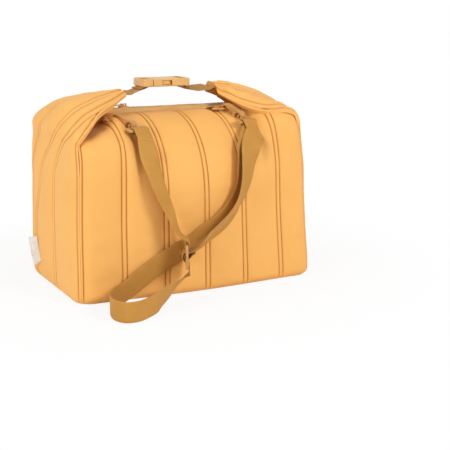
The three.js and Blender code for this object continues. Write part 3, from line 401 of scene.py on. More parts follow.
# %% [markdown]
# The shell is a tightly woven synthetic cloth with a dull gleam. Its weave is two sets of
# fine waves, one along the warp and one along the weft, multiplied to give the small
# bumps of a plain weave. Broad noise shifts the colour a little, as dye and handling do.
# Light hardly reaches the bottom of a stitch line, and the cloth there looks darker, so
# each vertex carries a number called seam, and the finish darkens the cloth by it.


# %% Cloth finishes
THREAD_PITCH = 0.00045
SEAM_SHADE = (0.66, 0.5, 0.3, 1)


def woven(finish, pitch):
    """Height of a plain weave on the UV map, which is in metres."""
    warp, weft = (finish.waves(direction, pitch, Distortion=0.35, Detail=1.0, Detail_Scale=1.5)
                  for direction in "XY")
    return finish.math("MULTIPLY", warp, weft)


def attribute(finish, title):
    """The value that each vertex of the piece carries under a name."""
    return finish.node("Attribute", {"attribute_name": title}).outputs["Fac"]


def cloth(name, light, dark, roughness=0.62):
    """Shell cloth: plain weave, colour drift, soft creases, painted shade in weave gaps and stitch lines."""
    made = Finish(name, roughness, sheen=0.04, specular=0.25)
    drift = made.noise(14, 4)
    fine = made.noise(900, 2, "UV")
    blend = made.math("MULTIPLY", made.math("ADD", drift, fine), 0.5)
    colour = made.ramp(blend, [(0.32, srgb(*dark)), (0.5, srgb(*light)), (0.72, srgb(*light))])
    weave = woven(made, THREAD_PITCH)
    # Painted shade: the gaps of the weave, where its height is low, are darkened a little.
    shaded = made.node("MixRGB", {"blend_type": "MULTIPLY"}, Fac=0.16)
    made.link(colour, shaded, "Color1")
    gaps = made.ramp(weave, [(0.0, (0.45, 0.4, 0.34, 1)), (0.5, (1, 1, 1, 1))])
    made.link(gaps, shaded, "Color2")
    # Painted shade: the cloth in the stitch lines is darkened by the value called seam.
    sewn = made.node("MixRGB", {"blend_type": "MULTIPLY"}, Color2=SEAM_SHADE)
    made.link(attribute(made, "seam"), sewn, "Fac")
    made.link(shaded, sewn, "Color1")
    soft = made.bump(made.noise(48, 3), 0.25, 0.0012)
    normal = made.bump(weave, 0.3, 0.00012, below=soft)
    return made.finish(colour=sewn, normal=normal)


shell_cloth = cloth("shell_cloth", (242, 180, 98), (235, 171, 87))
# The end walls and ears take the shell's cloth a little lighter, as painted light.
side_cloth = cloth("side_cloth", (243, 183, 102), (237, 175, 92))
base_cloth_finish = cloth("base_cloth", (226, 164, 84), (210, 148, 72), 0.7)
print("cloth finishes:", shell_cloth.name, side_cloth.name, base_cloth_finish.name)

# %% [markdown]
# Webbing is woven from thick yarns. One face shows fine ribs along its length, and the
# other is smoother. The smoother face is coloured lighter, partly its own tone and partly
# painted light for the lit outside of a strap, and the hollows of the ribs and yarns are
# coloured darker, as painted shade. The UV map of each strap runs across the strap in U
# and along it in V, so the ribs follow every bend and fold. The value called face tells
# the two faces apart.


# %% Webbing, zip and tag finishes
YARN_PITCH = 0.0011
TWILL_PITCH = 0.0007
SATIN_PITCH = 0.0004


def webbing(name, light, dark, ribs):
    """Strap webbing: ribs along the strap and a small herringbone across them."""
    made = Finish(name, 0.72, sheen=0.08, specular=0.25)
    rib = made.waves("X", 0.025 / ribs)
    yarn = made.waves("DIAGONAL", YARN_PITCH, Distortion=0.6)
    ribbed = made.math("ADD", made.math("MULTIPLY", attribute(made, "face"), -0.75), 1.0)
    height = made.math("MULTIPLY", rib, ribbed)
    height = made.math("ADD", height, made.math("MULTIPLY", yarn, 0.3))
    drift = made.noise(30, 3)
    # Painted shade: the hollows of the ribs and yarns come out darker.
    tone = made.math("ADD", made.math("MULTIPLY", height, 0.34), made.math("MULTIPLY", drift, 0.4))
    # The face called 1 comes out lighter, partly its own tone and partly painted light for the lit outside of a strap.
    tone = made.math("ADD", tone, made.math("MULTIPLY", attribute(made, "face"), 0.2))
    colour = made.ramp(tone, [(0.25, srgb(*dark)), (0.75, srgb(*light))])
    normal = made.bump(height, 0.5, 0.00035)
    return made.finish(colour=colour, normal=normal)


strap_webbing = webbing("strap_webbing", (208, 152, 72), (170, 118, 48), ribs=13)
handle_webbing = webbing("handle_webbing", (194, 141, 68), (162, 113, 48), ribs=11)


def zip_cloth():
    """Zip tape: a fine twill, a shade lighter than the webbing."""
    made = Finish("zip_cloth", 0.75, sheen=0.2, specular=0.28)
    twill = made.waves("DIAGONAL", TWILL_PITCH, Distortion=0.4)
    # Painted shade: the hollows of the twill come out darker.
    tone = made.math("ADD", made.math("MULTIPLY", twill, 0.3), made.noise(60, 3))
    colour = made.ramp(tone, [(0.35, srgb(204, 158, 94)), (0.85, srgb(228, 186, 122))])
    return made.finish(colour=colour, normal=made.bump(twill, 0.4, 0.0002))


def tag_cloth():
    """White satin ribbon with a faint weave, light grey in random patches as painted shade."""
    made = Finish("tag_cloth", 0.5, sheen=0.1, specular=0.4)
    weave = woven(made, SATIN_PITCH)
    # Painted shade: the white satin is made light grey, varying in random patches.
    colour = made.ramp(made.noise(120, 4), [(0.3, srgb(214, 212, 208)), (0.6, srgb(234, 233, 231))])
    return made.finish(colour=colour, normal=made.bump(weave, 0.3, 0.00008))


zip_finish = zip_cloth()
tag_finish = tag_cloth()
print("woven finishes:", strap_webbing.name, handle_webbing.name, zip_finish.name, tag_finish.name)

# %% [markdown]
# The buckle, hooks and rings are moulded plastic in nearly the cloth's colour. Moulded
# plastic is smooth but never perfect: it has a faint orange-peel surface, and it is
# rougher where it rubs. Its gloss comes from the shader and the lamps.


# %% Plastic, film and foam finishes
def plastic(name, light, dark, roughness=0.34):
    made = Finish(name, roughness, specular=0.5)
    colour = made.ramp(made.noise(60, 3), [(0.35, srgb(*dark)), (0.65, srgb(*light))])
    scuff = made.ramp(made.noise(240, 5),
                      [(0.4, (roughness,) * 3 + (1,)), (0.75, (roughness + 0.18,) * 3 + (1,))])
    normal = made.bump(made.noise(1500, 2), 0.12, 0.00006)
    return made.finish(colour=colour, normal=normal, roughness=scuff)


hard_plastic = plastic("hard_plastic", (222, 172, 106), (212, 161, 94))
latch_plastic = plastic("latch_plastic", (216, 165, 99), (204, 153, 86), 0.38)
hook_plastic = plastic("hook_plastic", (200, 148, 82), (184, 131, 68), 0.38)


def foam_finish():
    """Closed-cell foam: pale, matte and finely pitted."""
    made = Finish("foam", 0.9, specular=0.2)
    cells = made.node("TexVoronoi", Scale=900.0)
    made.link(made.place("Object"), cells, "Vector")
    # Painted shade: the pits of the cells come out darker.
    colour = made.ramp(cells.outputs["Distance"],
                       [(0.0, srgb(222, 222, 218)), (0.6, srgb(246, 246, 243))])
    return made.finish(colour=colour, normal=made.bump(cells.outputs["Distance"], 0.4, 0.0004))


def film_finish():
    """Silvery lining film with many small creases."""
    made = Finish("lining_film", 0.26, metallic=0.85)
    crease = made.node("TexVoronoi", {"feature": "DISTANCE_TO_EDGE"}, Scale=55.0)
    made.link(made.place("Object"), crease, "Vector")
    colour = made.ramp(made.noise(40, 4),
                       [(0.3, srgb(196, 198, 202)), (0.7, srgb(228, 229, 232))])
    height = made.ramp(crease.outputs["Distance"], [(0.0, (0, 0, 0, 1)), (0.12, (1, 1, 1, 1))])
    return made.finish(colour=colour, normal=made.bump(height, 0.5, 0.0008))


lining_foam = foam_finish()
lining_film = film_finish()
print("plastic, foam and film finishes made")

# %% [markdown]
# Now the shell. The bag's walls follow one rule: a plan with rounded corners, a slight
# lean, and a roof that curves over to the zip. The front right corner is puffed up under
# its ear, and the other three are lower. The functions below state that rule once for
# whole arrays of points, in millimetres, and every padded piece is made from them.
# Modelling each wall by hand would make it hard to keep their edges together.


# %% The rule of the shell
MM = 0.001
HALF_LENGTH = 165.0
HALF_DEPTH = 95.0
CORNER_RADIUS = 20.0
FRONT_BULGE = 12.0
SIDE_BULGE = 3.0
TOP_LEAN = 7.0
RIGHT_LEAN = 8.5
HEM_INSET = 4.0
HEM_HEIGHT = 8.0
SHOULDER_START = 110.0
RIDGE_ROOF = 219.0
Wall = namedtuple("Wall", "left_end right_end foot_flare corner_flare")
FRONT = Wall(194.0, 223.0, 0.016, 0.058)
BACK = Wall(194.0, 196.0, -0.03, 0.0)
END_DROP = 2.5
ROOF_PUFF = 7.5
ROOF_FALL = (50, 118)
PUFF_RISE = (76, 100)
PUFF_FALL = (120, 142)
DROP_RISE = (134, 156)
LOW_TURN = (80, 120)
HIGH_TURN = (94, 126)
SIDE_TOP = 188.0
CENTRE_ROUNDNESS = 2.5
END_ROUNDNESS = 8.0
SEAM_OPENING = 18.0
STRAIGHT_SHARE = 0.9
STRAIGHT_HALF = HALF_LENGTH - CORNER_RADIUS
CORNER_ARC = CORNER_RADIUS * math.pi / 4
CORNER_STEP = CORNER_RADIUS * math.sqrt(0.5)
HIGH_END = (196, 216)
RIGHT_LEAN_RISE = (140, 235)
SWELL_HEIGHT = 208.0
LOW_EDGE = 0.4
END_TUCK = 0.02


def smooth(x, low, high):
    """Smoothstep, for numbers or arrays."""
    t = np.clip((np.asarray(x, float) - low) / (high - low), 0, 1)
    return t * t * (3 - 2 * t)


def bulge_at(x):
    return FRONT_BULGE * np.cos(np.pi * x / (2 * HALF_LENGTH)) ** 2


def end_at(x, wall):
    """Roof height at the nearer end, and 1 where that end is puffed up or 0 where low."""
    end = np.where(np.asarray(x) > 0, wall.right_end, wall.left_end)
    return end, smooth(end, *HIGH_END)


def roof_at(x, wall):
    """Height of the roof: highest under the zip, and puffed out between zip and ear."""
    size = np.abs(x)
    end, high = end_at(x, wall)
    puff = ROOF_PUFF * (1 - high) * smooth(size, *PUFF_RISE) * (1 - smooth(size, *PUFF_FALL))
    drop = END_DROP * high * smooth(size, *DROP_RISE)
    return end + (RIDGE_ROOF - end) * (1 - smooth(size, *ROOF_FALL)) + puff - drop


def roundness_at(x, wall):
    size = np.abs(x)
    high = end_at(x, wall)[1]
    share = smooth(size, *LOW_TURN) * (1 - high) + smooth(size, *HIGH_TURN) * high
    return CENTRE_ROUNDNESS + (END_ROUNDNESS - CENTRE_ROUNDNESS) * share


def lean_at(z, on_right):
    """Share of the length left at a height; the right end leans in more near its top."""
    extra = np.where(on_right, RIGHT_LEAN * smooth(z, *RIGHT_LEAN_RISE), 0)
    return 1 - (TOP_LEAN * (z / SIDE_TOP) + extra) / HALF_LENGTH


def hem_at(z):
    t = np.clip((z - LOW_EDGE) / HEM_HEIGHT, 0, 1)
    return HEM_INSET * (1 - t) ** 2


def front_plan(c):
    """Plan of the front wall; c runs from -1 at the left corner to 1 at the right."""
    size = np.abs(c)
    x = (size / STRAIGHT_SHARE) * STRAIGHT_HALF
    turn = np.clip((size - STRAIGHT_SHARE) / (1 - STRAIGHT_SHARE), 0, 1) * np.pi / 4
    straight = size <= STRAIGHT_SHARE
    across = np.where(straight, x, STRAIGHT_HALF + CORNER_RADIUS * np.sin(turn))
    depth = HALF_DEPTH + bulge_at(across)
    depth = np.where(straight, depth, depth - CORNER_RADIUS * (1 - np.cos(turn)))
    return np.sign(c) * across, -depth


def flare_at(x, z, wall):
    """Share of the depth at a height; the front's foot stands wider, and most at its corners."""
    flare = wall.foot_flare + wall.corner_flare * np.sin(np.pi * x / (2 * HALF_LENGTH)) ** 2
    return 1 + flare * (1 - smooth(z, 0, SHOULDER_START))


def front_surface(c, v, wall=FRONT):
    """A long wall: v from 0 at the hem to 1 at the shoulder and 2 at the zip."""
    c, v = np.broadcast_arrays(np.asarray(c, float), np.asarray(v, float))
    x, y = front_plan(c)
    z = LOW_EDGE + np.minimum(v, 1) * (SHOULDER_START - LOW_EDGE)
    inset = hem_at(z)
    low_x = x * lean_at(z, x > 0) * (1 - inset / HALF_LENGTH)
    low = (low_x, y * flare_at(x, z, wall) * (1 - inset / HALF_DEPTH), z)
    roof = roof_at(x, wall)
    power = roundness_at(x, wall)
    end_turn = np.arccos((SEAM_OPENING / 2 / np.abs(y)) ** (power / 2))
    turn = np.clip(v - 1, 0, 1) * end_turn
    high_z = SHOULDER_START + (roof - SHOULDER_START) * np.sin(turn) ** (2 / power)
    tuck = END_TUCK * smooth(high_z, roof - 8, roof - 3) * (np.abs(x) / HALF_LENGTH) ** 8
    high_x = x * lean_at(high_z, x > 0) * (1 - tuck)
    high = (high_x, y * np.cos(turn) ** (2 / power), high_z)
    return np.stack([np.where(v <= 1, a, b) for a, b in zip(low, high)], axis=-1)


def corner_at(z, wall, on_right):
    """Half length and half depth, at a height, of the corner at one end of a long wall."""
    x, y = front_plan(np.array(1.0))
    inset = hem_at(z)
    roof = wall.right_end if on_right else wall.left_end
    rise = np.clip((z - SHOULDER_START) / (roof - SHOULDER_START), 0, 1)
    bend = (1 - rise**END_ROUNDNESS) ** (1 / END_ROUNDNESS)
    half_length = x * lean_at(z, on_right) * (1 - inset / HALF_LENGTH)
    return half_length, -y * flare_at(x, z, wall) * (1 - inset / HALF_DEPTH) * bend


def side_surface(w, z, side="left"):
    """An end wall as on the left: w from -1 at the front to 1 at the back, z the height."""
    w, z = np.broadcast_arrays(np.asarray(w, float), np.asarray(z, float))
    half_length, front_depth = corner_at(z, FRONT, side == "right")
    back_depth = corner_at(z, BACK, side == "right")[1]
    flat = np.where(w < 0, front_depth, back_depth) - CORNER_STEP
    front = half_length + CORNER_RADIUS - CORNER_STEP
    size = np.abs(w)
    part = w / STRAIGHT_SHARE
    swell = SIDE_BULGE * (1 - part**2) * np.sin(np.pi * z / SWELL_HEIGHT)
    turn = np.clip((size - STRAIGHT_SHARE) / (1 - STRAIGHT_SHARE), 0, 1) * np.pi / 4
    straight = size <= STRAIGHT_SHARE
    x = np.where(straight, front + swell, front - CORNER_RADIUS * (1 - np.cos(turn)))
    y = np.where(straight, part * flat, np.sign(w) * (flat + CORNER_RADIUS * np.sin(turn)))
    return np.stack([-x, y, z], axis=-1)


print("half depth of the low front corner at the fold: %.1f mm"
      % corner_at(SIDE_TOP, FRONT, False)[1])

# %% [markdown]
# Each ear is the side cloth going on over the shoulder and inwards to the handle. Its
# middle line and its edges pass through a few chosen places, and a spline joins them, as
# a flexible batten would. Most edges stand up before they turn inwards, but the front
# edge of the left ear slants straight to the handle. The spline is the centripetal
# Catmull-Rom kind, which passes through its places without overshooting.


# %% Splines and the ears
EAR_ARCH = 2.2
EAR_RIDGES = {
    "left": [(-162, 204), (-157, 220), (-142, 235), (-118, 241.5), (-92, 244.5), (-66, 247)],
    "right": [(-158, 204), (-152.5, 218), (-141, 229.5), (-117, 241), (-91, 250), (-65, 252)],
}
EAR_EDGES = {
    "left": ([(-152, 82, 193.5), (-142, 79, 203), (-128.5, 70.5, 214), (-114, 58, 225),
              (-90, 40, 233.5), (-65, 19, 243.5)],
             [(-157.5, 82, 202), (-154.5, 78, 213), (-143, 66, 221), (-119, 50, 227),
              (-92, 34, 233), (-65, 19, 240)]),
    "right": ([(-148, 89, 205), (-143.5, 88.5, 215.5), (-126, 89, 221.5), (-104, 84, 219),
               (-83, 59, 224.5), (-63, 21, 240)],
              [(-151, 78, 195), (-146.5, 73, 204), (-133, 64, 213), (-112, 49, 222),
               (-88, 32, 233), (-63, 20, 242)]),
}


def spline(points, t):
    """A centripetal Catmull-Rom spline at share t; points has one row per stop."""
    points = np.asarray(points, float)
    last = len(points) - 2
    place = (len(points) - 1) * t
    i = min(int(place), last)
    w = place - i
    b, c = points[i], points[i + 1]
    a = points[i - 1] if i > 0 else 2 * b - c
    d = points[i + 2] if i < last else 2 * c - b
    step = [np.maximum(np.linalg.norm(q - p, axis=-1, keepdims=True), 1e-6) ** 0.5
            for p, q in ((a, b), (b, c), (c, d))]
    leave = ((b - a) / step[0] - (c - a) / (step[0] + step[1]) + (c - b) / step[1]) * step[1]
    reach = ((c - b) / step[1] - (d - b) / (step[1] + step[2]) + (d - c) / step[2]) * step[1]
    return (b * (2 * w**3 - 3 * w**2 + 1) + leave * (w**3 - 2 * w**2 + w)
            + c * (3 * w**2 - 2 * w**3) + reach * (w**3 - w**2))


def ear_surface(s, t, side="left"):
    """An ear as on the left: s across it from front to back, t from shoulder to tip."""
    s = np.asarray(s, float)
    fall = np.abs(s) ** EAR_ARCH
    stops = [side_surface(s, SIDE_TOP, side)]
    for ridge, front_edge, back_edge in zip(EAR_RIDGES[side], *EAR_EDGES[side]):
        edge = np.where(s[..., None] < 0, front_edge, back_edge)
        x = ridge[0] + (edge[..., 0] - ridge[0]) * fall
        z = ridge[1] + (edge[..., 2] - ridge[1]) * fall
        stops.append(np.stack([x, s * edge[..., 1], z], axis=-1))
    return spline(np.stack(stops), t)


# %% [markdown]
# A padded wall is a closed slab: an outer face, an inner face and the narrow edges that
# join them. Both faces are grids, so the mesh is all quads. The helper keeps faces
# pointing outwards by measuring the slab's volume and turning it round if it is negative.


# %% Mesh helpers
SHARP_ANGLE = 62


def unit(vectors):
    """Vectors at unit length; the last axis holds the parts of each."""
    vectors = np.asarray(vectors, float)
    return vectors / np.linalg.norm(vectors, axis=-1, keepdims=True)


def reach_along(line):
    """Distance along a line of points from its start to each of them."""
    steps = np.linalg.norm(np.diff(line, axis=0), axis=1)
    return np.concatenate([[0], np.cumsum(steps)])


def length_of(line):
    return float(reach_along(line)[-1])


def grid_normals(grid):
    """Unit normals of a grid of points, from its own differences."""
    along = np.gradient(grid, axis=0)
    across = np.gradient(grid, axis=1)
    normal = np.cross(across, along)
    return normal / np.maximum(np.linalg.norm(normal, axis=-1, keepdims=True), 1e-9)


def quads_of(numbers):
    """Quads between the neighbours of a grid of vertex numbers."""
    low, high = numbers[:-1], numbers[1:]
    corners = [low[:, :-1], low[:, 1:], high[:, 1:], high[:, :-1]]
    return np.stack(corners, axis=-1).reshape(-1, 4).tolist()


def closed_round(numbers, axis):
    """The grid of numbers with its first row or column repeated at the end."""
    return np.concatenate([numbers, np.take(numbers, [0], axis)], axis)


def make_piece(name, points, faces, material, uv=None, values=None):
    """A new object at the origin from points in millimetres, shaded smooth.

    The dictionary values gives numbers that each vertex carries, by name.
    """
    mesh = bpy.data.meshes.new(name)
    mesh.from_pydata((np.asarray(points) * MM).tolist(), [], faces)
    mesh.materials.append(material)
    for title, numbers in (values or {}).items():
        carried = mesh.attributes.new(title, "FLOAT", "POINT")
        carried.data.foreach_set("value", np.asarray(numbers, dtype=np.float32).ravel())
    if uv is not None:
        layer = mesh.uv_layers.new(name="UVMap")
        corner_points = np.zeros(len(mesh.loops), dtype=np.int32)
        mesh.loops.foreach_get("vertex_index", corner_points)
        spread = (np.asarray(uv) * MM)[corner_points]
        layer.data.foreach_set("uv", spread.astype(np.float32).ravel())
    build = bmesh.new()
    build.from_mesh(mesh)
    if build.calc_volume(signed=True) < 0:
        bmesh.ops.reverse_faces(build, faces=build.faces[:])
    build.to_mesh(mesh)
    build.free()
    mesh.shade_smooth()
    mesh.set_sharp_from_angle(angle=math.radians(SHARP_ANGLE))
    made = bpy.data.objects.new(name, mesh)
    scene.collection.objects.link(made)
    return made


def grid_uv(grid):
    """Distances along and across a grid, in millimetres, as texture coordinates."""
    across = np.linalg.norm(np.diff(grid, axis=1), axis=-1)
    along = np.linalg.norm(np.diff(grid, axis=0), axis=-1)
    middle = grid.shape[1] // 2
    u = np.concatenate([np.zeros((grid.shape[0], 1)), np.cumsum(across, axis=1)], axis=1)
    v = np.concatenate([np.zeros((1, grid.shape[1])), np.cumsum(along, axis=0)], axis=0)
    return np.stack([u - u[:, middle:middle + 1], v], axis=-1)


def slab(name, outer, inner, material, seam=None):
    """A closed slab between two grids of the same size."""
    count = outer.shape[0] * outer.shape[1]
    grid = np.arange(count).reshape(outer.shape[:2])
    faces = quads_of(grid) + quads_of(count + grid[:, ::-1])
    rim = np.concatenate([grid[0], grid[1:, -1], grid[-1, -2::-1], grid[-2::-1, 0]])
    faces += quads_of(np.stack([rim + count, rim]))
    points = np.concatenate([outer.reshape(-1, 3), inner.reshape(-1, 3)])
    uv = grid_uv(outer).reshape(-1, 2)
    values = {"face": np.repeat([1.0, 0.0], count)}
    if seam is not None:
        values["seam"] = np.concatenate([seam.ravel(), np.zeros(count)])
    return make_piece(name, points, faces, material, np.concatenate([uv, uv]), values)


def flipped(grid, axis):
    """The grid mirrored through the plane across an axis: 0 for X and 1 for Y."""
    sign = np.ones(3)
    sign[axis] = -1
    return grid * sign


def creases(points, scale, depth, seed):
    """Smooth random heights at each point, for soft wrinkles that differ per piece."""
    shift = Vector((seed * 7.3, seed * 3.1, seed * 1.7))
    flat = points.reshape(-1, 3)
    values = [noise.noise(Vector(p) * scale + shift) for p in flat]
    return np.array(values).reshape(points.shape[:-1]) * depth


# %% [markdown]
# Each wall is quilted: two stitch lines close together hold the cloth flat in a narrow
# band, and the padding swells between the bands. The profile below is that cross
# section. It is a flat band, a sharp groove at each stitch line, and a low crown
# between. It could come from a cloth simulation, but a voxel remesh would wipe out the
# narrow bands, so it is modelled as heights over the rule of the shell.


# %% Quilting
BAND_HALF = 3.0
BAND_HEIGHT = 0.5
GROOVE_DEPTH = 0.95
GROOVE_WIDTH = 0.6
SEAM_WIDTH = 0.75
CROWN = 2.4
FLOOR_LIFT = 0.25
CROWN_POWER = 0.6
BAND_EDGE = 0.8
WRINKLE_REACH = 8
WRINKLE_START = 0.4
COLUMN_SPACING = 4.5
SEAM_OFFSETS = (0, 1.3, 2.2, 2.7, 3.0, 3.3, 3.8, 4.8, 6.5, 9.0, 13.0)


def quilt_height(distance_left, distance_right, crown=CROWN):
    """Height over the wall, from the distances in mm to the seams on either side."""
    near = np.minimum(distance_left, distance_right)
    width = np.maximum(distance_left + distance_right - 2 * BAND_HALF, 1e-3)
    part = np.clip((distance_left - BAND_HALF) / width, 0, 1)
    swell = crown * np.sin(np.pi * part) ** CROWN_POWER
    band = BAND_HEIGHT * (1 - smooth(near, BAND_HALF - BAND_EDGE, BAND_HALF))
    groove = GROOVE_DEPTH * np.exp(-(((near - BAND_HALF) / GROOVE_WIDTH) ** 2))
    return FLOOR_LIFT + swell + band - groove


def seam_value(distance_left, distance_right):
    """1 on a stitch line and 0 away from it."""
    near = np.minimum(distance_left, distance_right)
    return np.exp(-(((near - BAND_HALF) / SEAM_WIDTH) ** 2))


def between_seams(distance_left, distance_right):
    """0 on a seam's band and 1 well between two seams, where the cloth can wrinkle."""
    near = np.minimum(distance_left, distance_right)
    return np.clip(near / WRINKLE_REACH - WRINKLE_START, 0, 1)


def seam_columns(seams):
    """Places across a wall: close together beside each seam, wider between."""
    places = []
    for low, high in zip(seams, seams[1:]):
        reach = (high - low) / 2
        offsets = [o for o in SEAM_OFFSETS if o < reach - 1]
        start = offsets[-1] if offsets else 0
        count = max(1, int(round(2 * (reach - start) / COLUMN_SPACING)))
        between = np.linspace(low + start, high - start, count + 1)[1:-1]
        places += [low + o for o in offsets] + list(between) + [high - o for o in offsets[::-1]]
    return np.unique(np.round(places, 4))


FRONT_END = STRAIGHT_HALF + CORNER_ARC
CHANNEL = 55.0
SEAM_SHIFT = 4.5
INNER_SEAMS = SEAM_SHIFT + CHANNEL * np.arange(-2, 3)
FRONT_SEAMS = np.array([-FRONT_END, *INNER_SEAMS, FRONT_END])


def nearest_seams(q, seams):
    """Distances to the seam on the left and the seam on the right of each place."""
    index = np.clip(np.searchsorted(seams, q, side="right") - 1, 0, len(seams) - 2)
    return q - seams[index], seams[index + 1] - q


def wall_share(q, flat):
    """A wall's parameter from the distance along it in mm; flat is half its straight run."""
    size = np.abs(q)
    straight = size / flat * STRAIGHT_SHARE
    arc = STRAIGHT_SHARE + (size - flat) / CORNER_ARC * (1 - STRAIGHT_SHARE)
    return np.sign(q) * np.where(size <= flat, straight, np.minimum(arc, 1))


print("front columns:", len(seam_columns(FRONT_SEAMS)))

# %% [markdown]
# The front and the back are made by the same steps. The hem rolls in at the foot, the
# crown fades out before the zip, and soft creases come from smooth noise. The back gets
# its own creases, because no two sewn panels wrinkle alike.


# %% Front and back quilts
PANEL_THICKNESS = 4.0
EDGE_TRIM = 0.15
PULLED_EDGE = 219.5
FRONT_CREASES = ((64, -134), (58, -122), (27, -140), (71, -15), (104, 128))
CREASE_DEPTH = 1.1
CREASE_REACH = 16
CREASE_WIDTH = 3
CREASE_TILT = 0.06
BROAD_FOLDS = (0.019, 1.3)
FINE_FOLDS = (0.05, 0.7)
FINE_SQUEEZE = (1, 1, 2.4)
FOOT_LEVEL = 0.14
ROOF_CROWDING = 1.15
PULL_FALL = (90, 116)
PULL_RISE = (1.55, 2.0)
HEM_LEVELS = (0, 0.1)
SEAM_LEVELS = (0, 0.05)
ZIP_LEVELS = (1.86, 2.0)
ZIP_FLATNESS = 0.75


def front_levels():
    """Levels up the wall, denser at the hem, the shoulder and the zip."""
    foot = np.linspace(0, FOOT_LEVEL, 9)
    wall = np.linspace(FOOT_LEVEL, 1, 24)[1:]
    roof = 1 + (1 - (1 - np.linspace(0, 1, 62)[1:]) ** ROOF_CROWDING)
    return np.concatenate([foot, wall, roof])


def zip_lift(x, wall):
    """How far the cloth beside the zip is pulled up to it."""
    room = np.maximum(PULLED_EDGE - roof_at(x, wall), 0)
    return room * (1 - smooth(np.abs(x), *PULL_FALL))


def long_wall(c, v, wall):
    """A long wall with its upper edge drawn up to the zip."""
    base = front_surface(c, v, wall)
    base[..., 2] += zip_lift(base[..., 0], wall) * smooth(v, *PULL_RISE)
    return base


def front_quilt_grids(seed, wall):
    """Outer and inner faces of a long wall, in millimetres."""
    q = seam_columns(FRONT_SEAMS) * (1 - EDGE_TRIM / FRONT_END)
    levels = front_levels()
    share_grid, level_grid = np.meshgrid(wall_share(q, STRAIGHT_HALF), levels)
    base = long_wall(share_grid, level_grid, wall)
    normal = grid_normals(base)
    left, right = nearest_seams(q, FRONT_SEAMS)
    height = np.repeat(quilt_height(left, right)[None, :], len(levels), axis=0)
    fade = smooth(level_grid, *HEM_LEVELS)
    fade *= 1 - ZIP_FLATNESS * smooth(level_grid, *ZIP_LEVELS)
    height = FLOOR_LIFT + (height - FLOOR_LIFT) * fade
    between = between_seams(left, right)[None, :]
    wrinkle = creases(base, *BROAD_FOLDS, seed)
    wrinkle += creases(base * FINE_SQUEEZE, *FINE_FOLDS, seed + 3)
    for crease_z, crease_x in FRONT_CREASES:
        rise = base[..., 2] - crease_z - CREASE_TILT * (base[..., 0] - crease_x)
        reach = np.exp(-(((base[..., 0] - crease_x) / CREASE_REACH) ** 2))
        wrinkle = wrinkle - CREASE_DEPTH * reach * np.exp(-((rise / CREASE_WIDTH) ** 2))
    height = height + wrinkle * between * fade
    outer = base + normal * height[..., None]
    inner = base - normal * PANEL_THICKNESS
    seam = seam_value(left, right)[None, :] * smooth(level_grid, *SEAM_LEVELS)
    return outer, inner, q, seam


front_outer, front_inner, front_q, front_seam = front_quilt_grids(1, FRONT)
back_outer, back_inner, _, back_seam = front_quilt_grids(5, BACK)
back_outer, back_inner = flipped(back_outer, 1), flipped(back_inner, 1)
quilt_front = slab("quilt_front", front_outer, front_inner, shell_cloth, front_seam)
quilt_back = slab("quilt_back", back_outer, back_inner, shell_cloth, back_seam)
print("quilt_front:", len(quilt_front.data.polygons), "faces")

for piece, node in ((quilt_front, "front_panel"), (quilt_back, "back_panel")):
    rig.padded(piece, 0.55)
    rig.ride(piece, "bag")
    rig.replaces(piece, node)
    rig.slot(piece, "panel_cloth")

# %% [markdown]
# A side wall and its ear are one length of cloth on the real bag: it runs up the end of
# the bag, over the shoulder and inwards to the handle, and its seams lean forward as
# they climb. So they are one piece here, bent at the ear's fold when the bag is opened.
# Each seam is a list of places, and the columns of the grid are led along the seams.

# %% Seams of the side and the ear
SIDE_EASE = 3.5
SIDE_FLAT = HALF_DEPTH - CORNER_STEP - SIDE_EASE
SIDE_END = SIDE_FLAT + CORNER_ARC
SIDE_BAND_HALF = 3.6
CLIMB_HEIGHTS = (0, 85, 130, 150, 165, 176, 188, 204, 228, 260, 292, 316, 340, 388)
SEAM_PATHS = (
    (-17, -17, -17, -17, -20, -31, -47, -56, -65, -73, -77, -82, -84, -84),
    (64, 62, 42, 36, 28, 14, -6, -20, -34, -46, -52, -52, -47, -36),
    (83, 83, 83, 80, 74, 67, 59, 48, 33, 15, 5, 1, 0, 0),
)
EAR_START = 188.0
EAR_LENGTH = 200.0
FOLD_REACH = 8
FOLD_ROUNDS = 30
SIDE_CROWN = 2.3
HEM_FADE = (4, 20)
ON_EAR = (190, 230)
NEAR_TIP = (330, 372)
SIDE_BROAD_FOLDS = (0.021, 1.5)
SIDE_FINE_FOLDS = (0.055, 0.8)
SIDE_SQUEEZE = (1, 1.6, 1)
SEAM_CLIMB = (1, 6)
EAR_EVENING = (0, 0.45)
RIPPLE_SLANT = 0.02
RIPPLE_EDGE = 4
FOLD_PLACE = 0.163
FOLD_FROM, FOLD_TO = 0.174, 0.200


def seams_at(climb):
    """Places of the seams across the cloth at one height of climb, edges included."""
    inner = [float(np.interp(climb, CLIMB_HEIGHTS, path)) for path in SEAM_PATHS]
    return np.array([-SIDE_END, *inner, SIDE_END])


def led_columns(seams, stretch):
    """Columns between the seams of one row, as many in every row."""
    places = []
    for low, high in zip(seams, seams[1:]):
        factor = min(stretch, (high - low) / 2 / (SEAM_OFFSETS[-1] + 1.5))
        near = np.array(SEAM_OFFSETS) * factor
        middle = np.linspace(low + near[-1], high - near[-1], 7)[1:-1]
        places += [*(low + near), *middle, *(high - near[::-1])[:-1]]
    return np.array(places + [seams[-1]])


def ear_stretch(t, side):
    """How much wider the cloth's own measure is than the ear at t."""
    line = ear_surface(np.linspace(-1, 1, 41), t, side)
    return 2 * SIDE_END / length_of(line)


print("side half width: %.1f mm" % SIDE_END)

# %% [markdown]
# The rows of the piece climb the wall first and the ear after it. Every row keeps its
# seams, its own measure and its distances to the seams, so the quilting has the same
# width all the way up although the ear narrows. The ear's edges are hemmed, so the
# profile's band runs along them too.


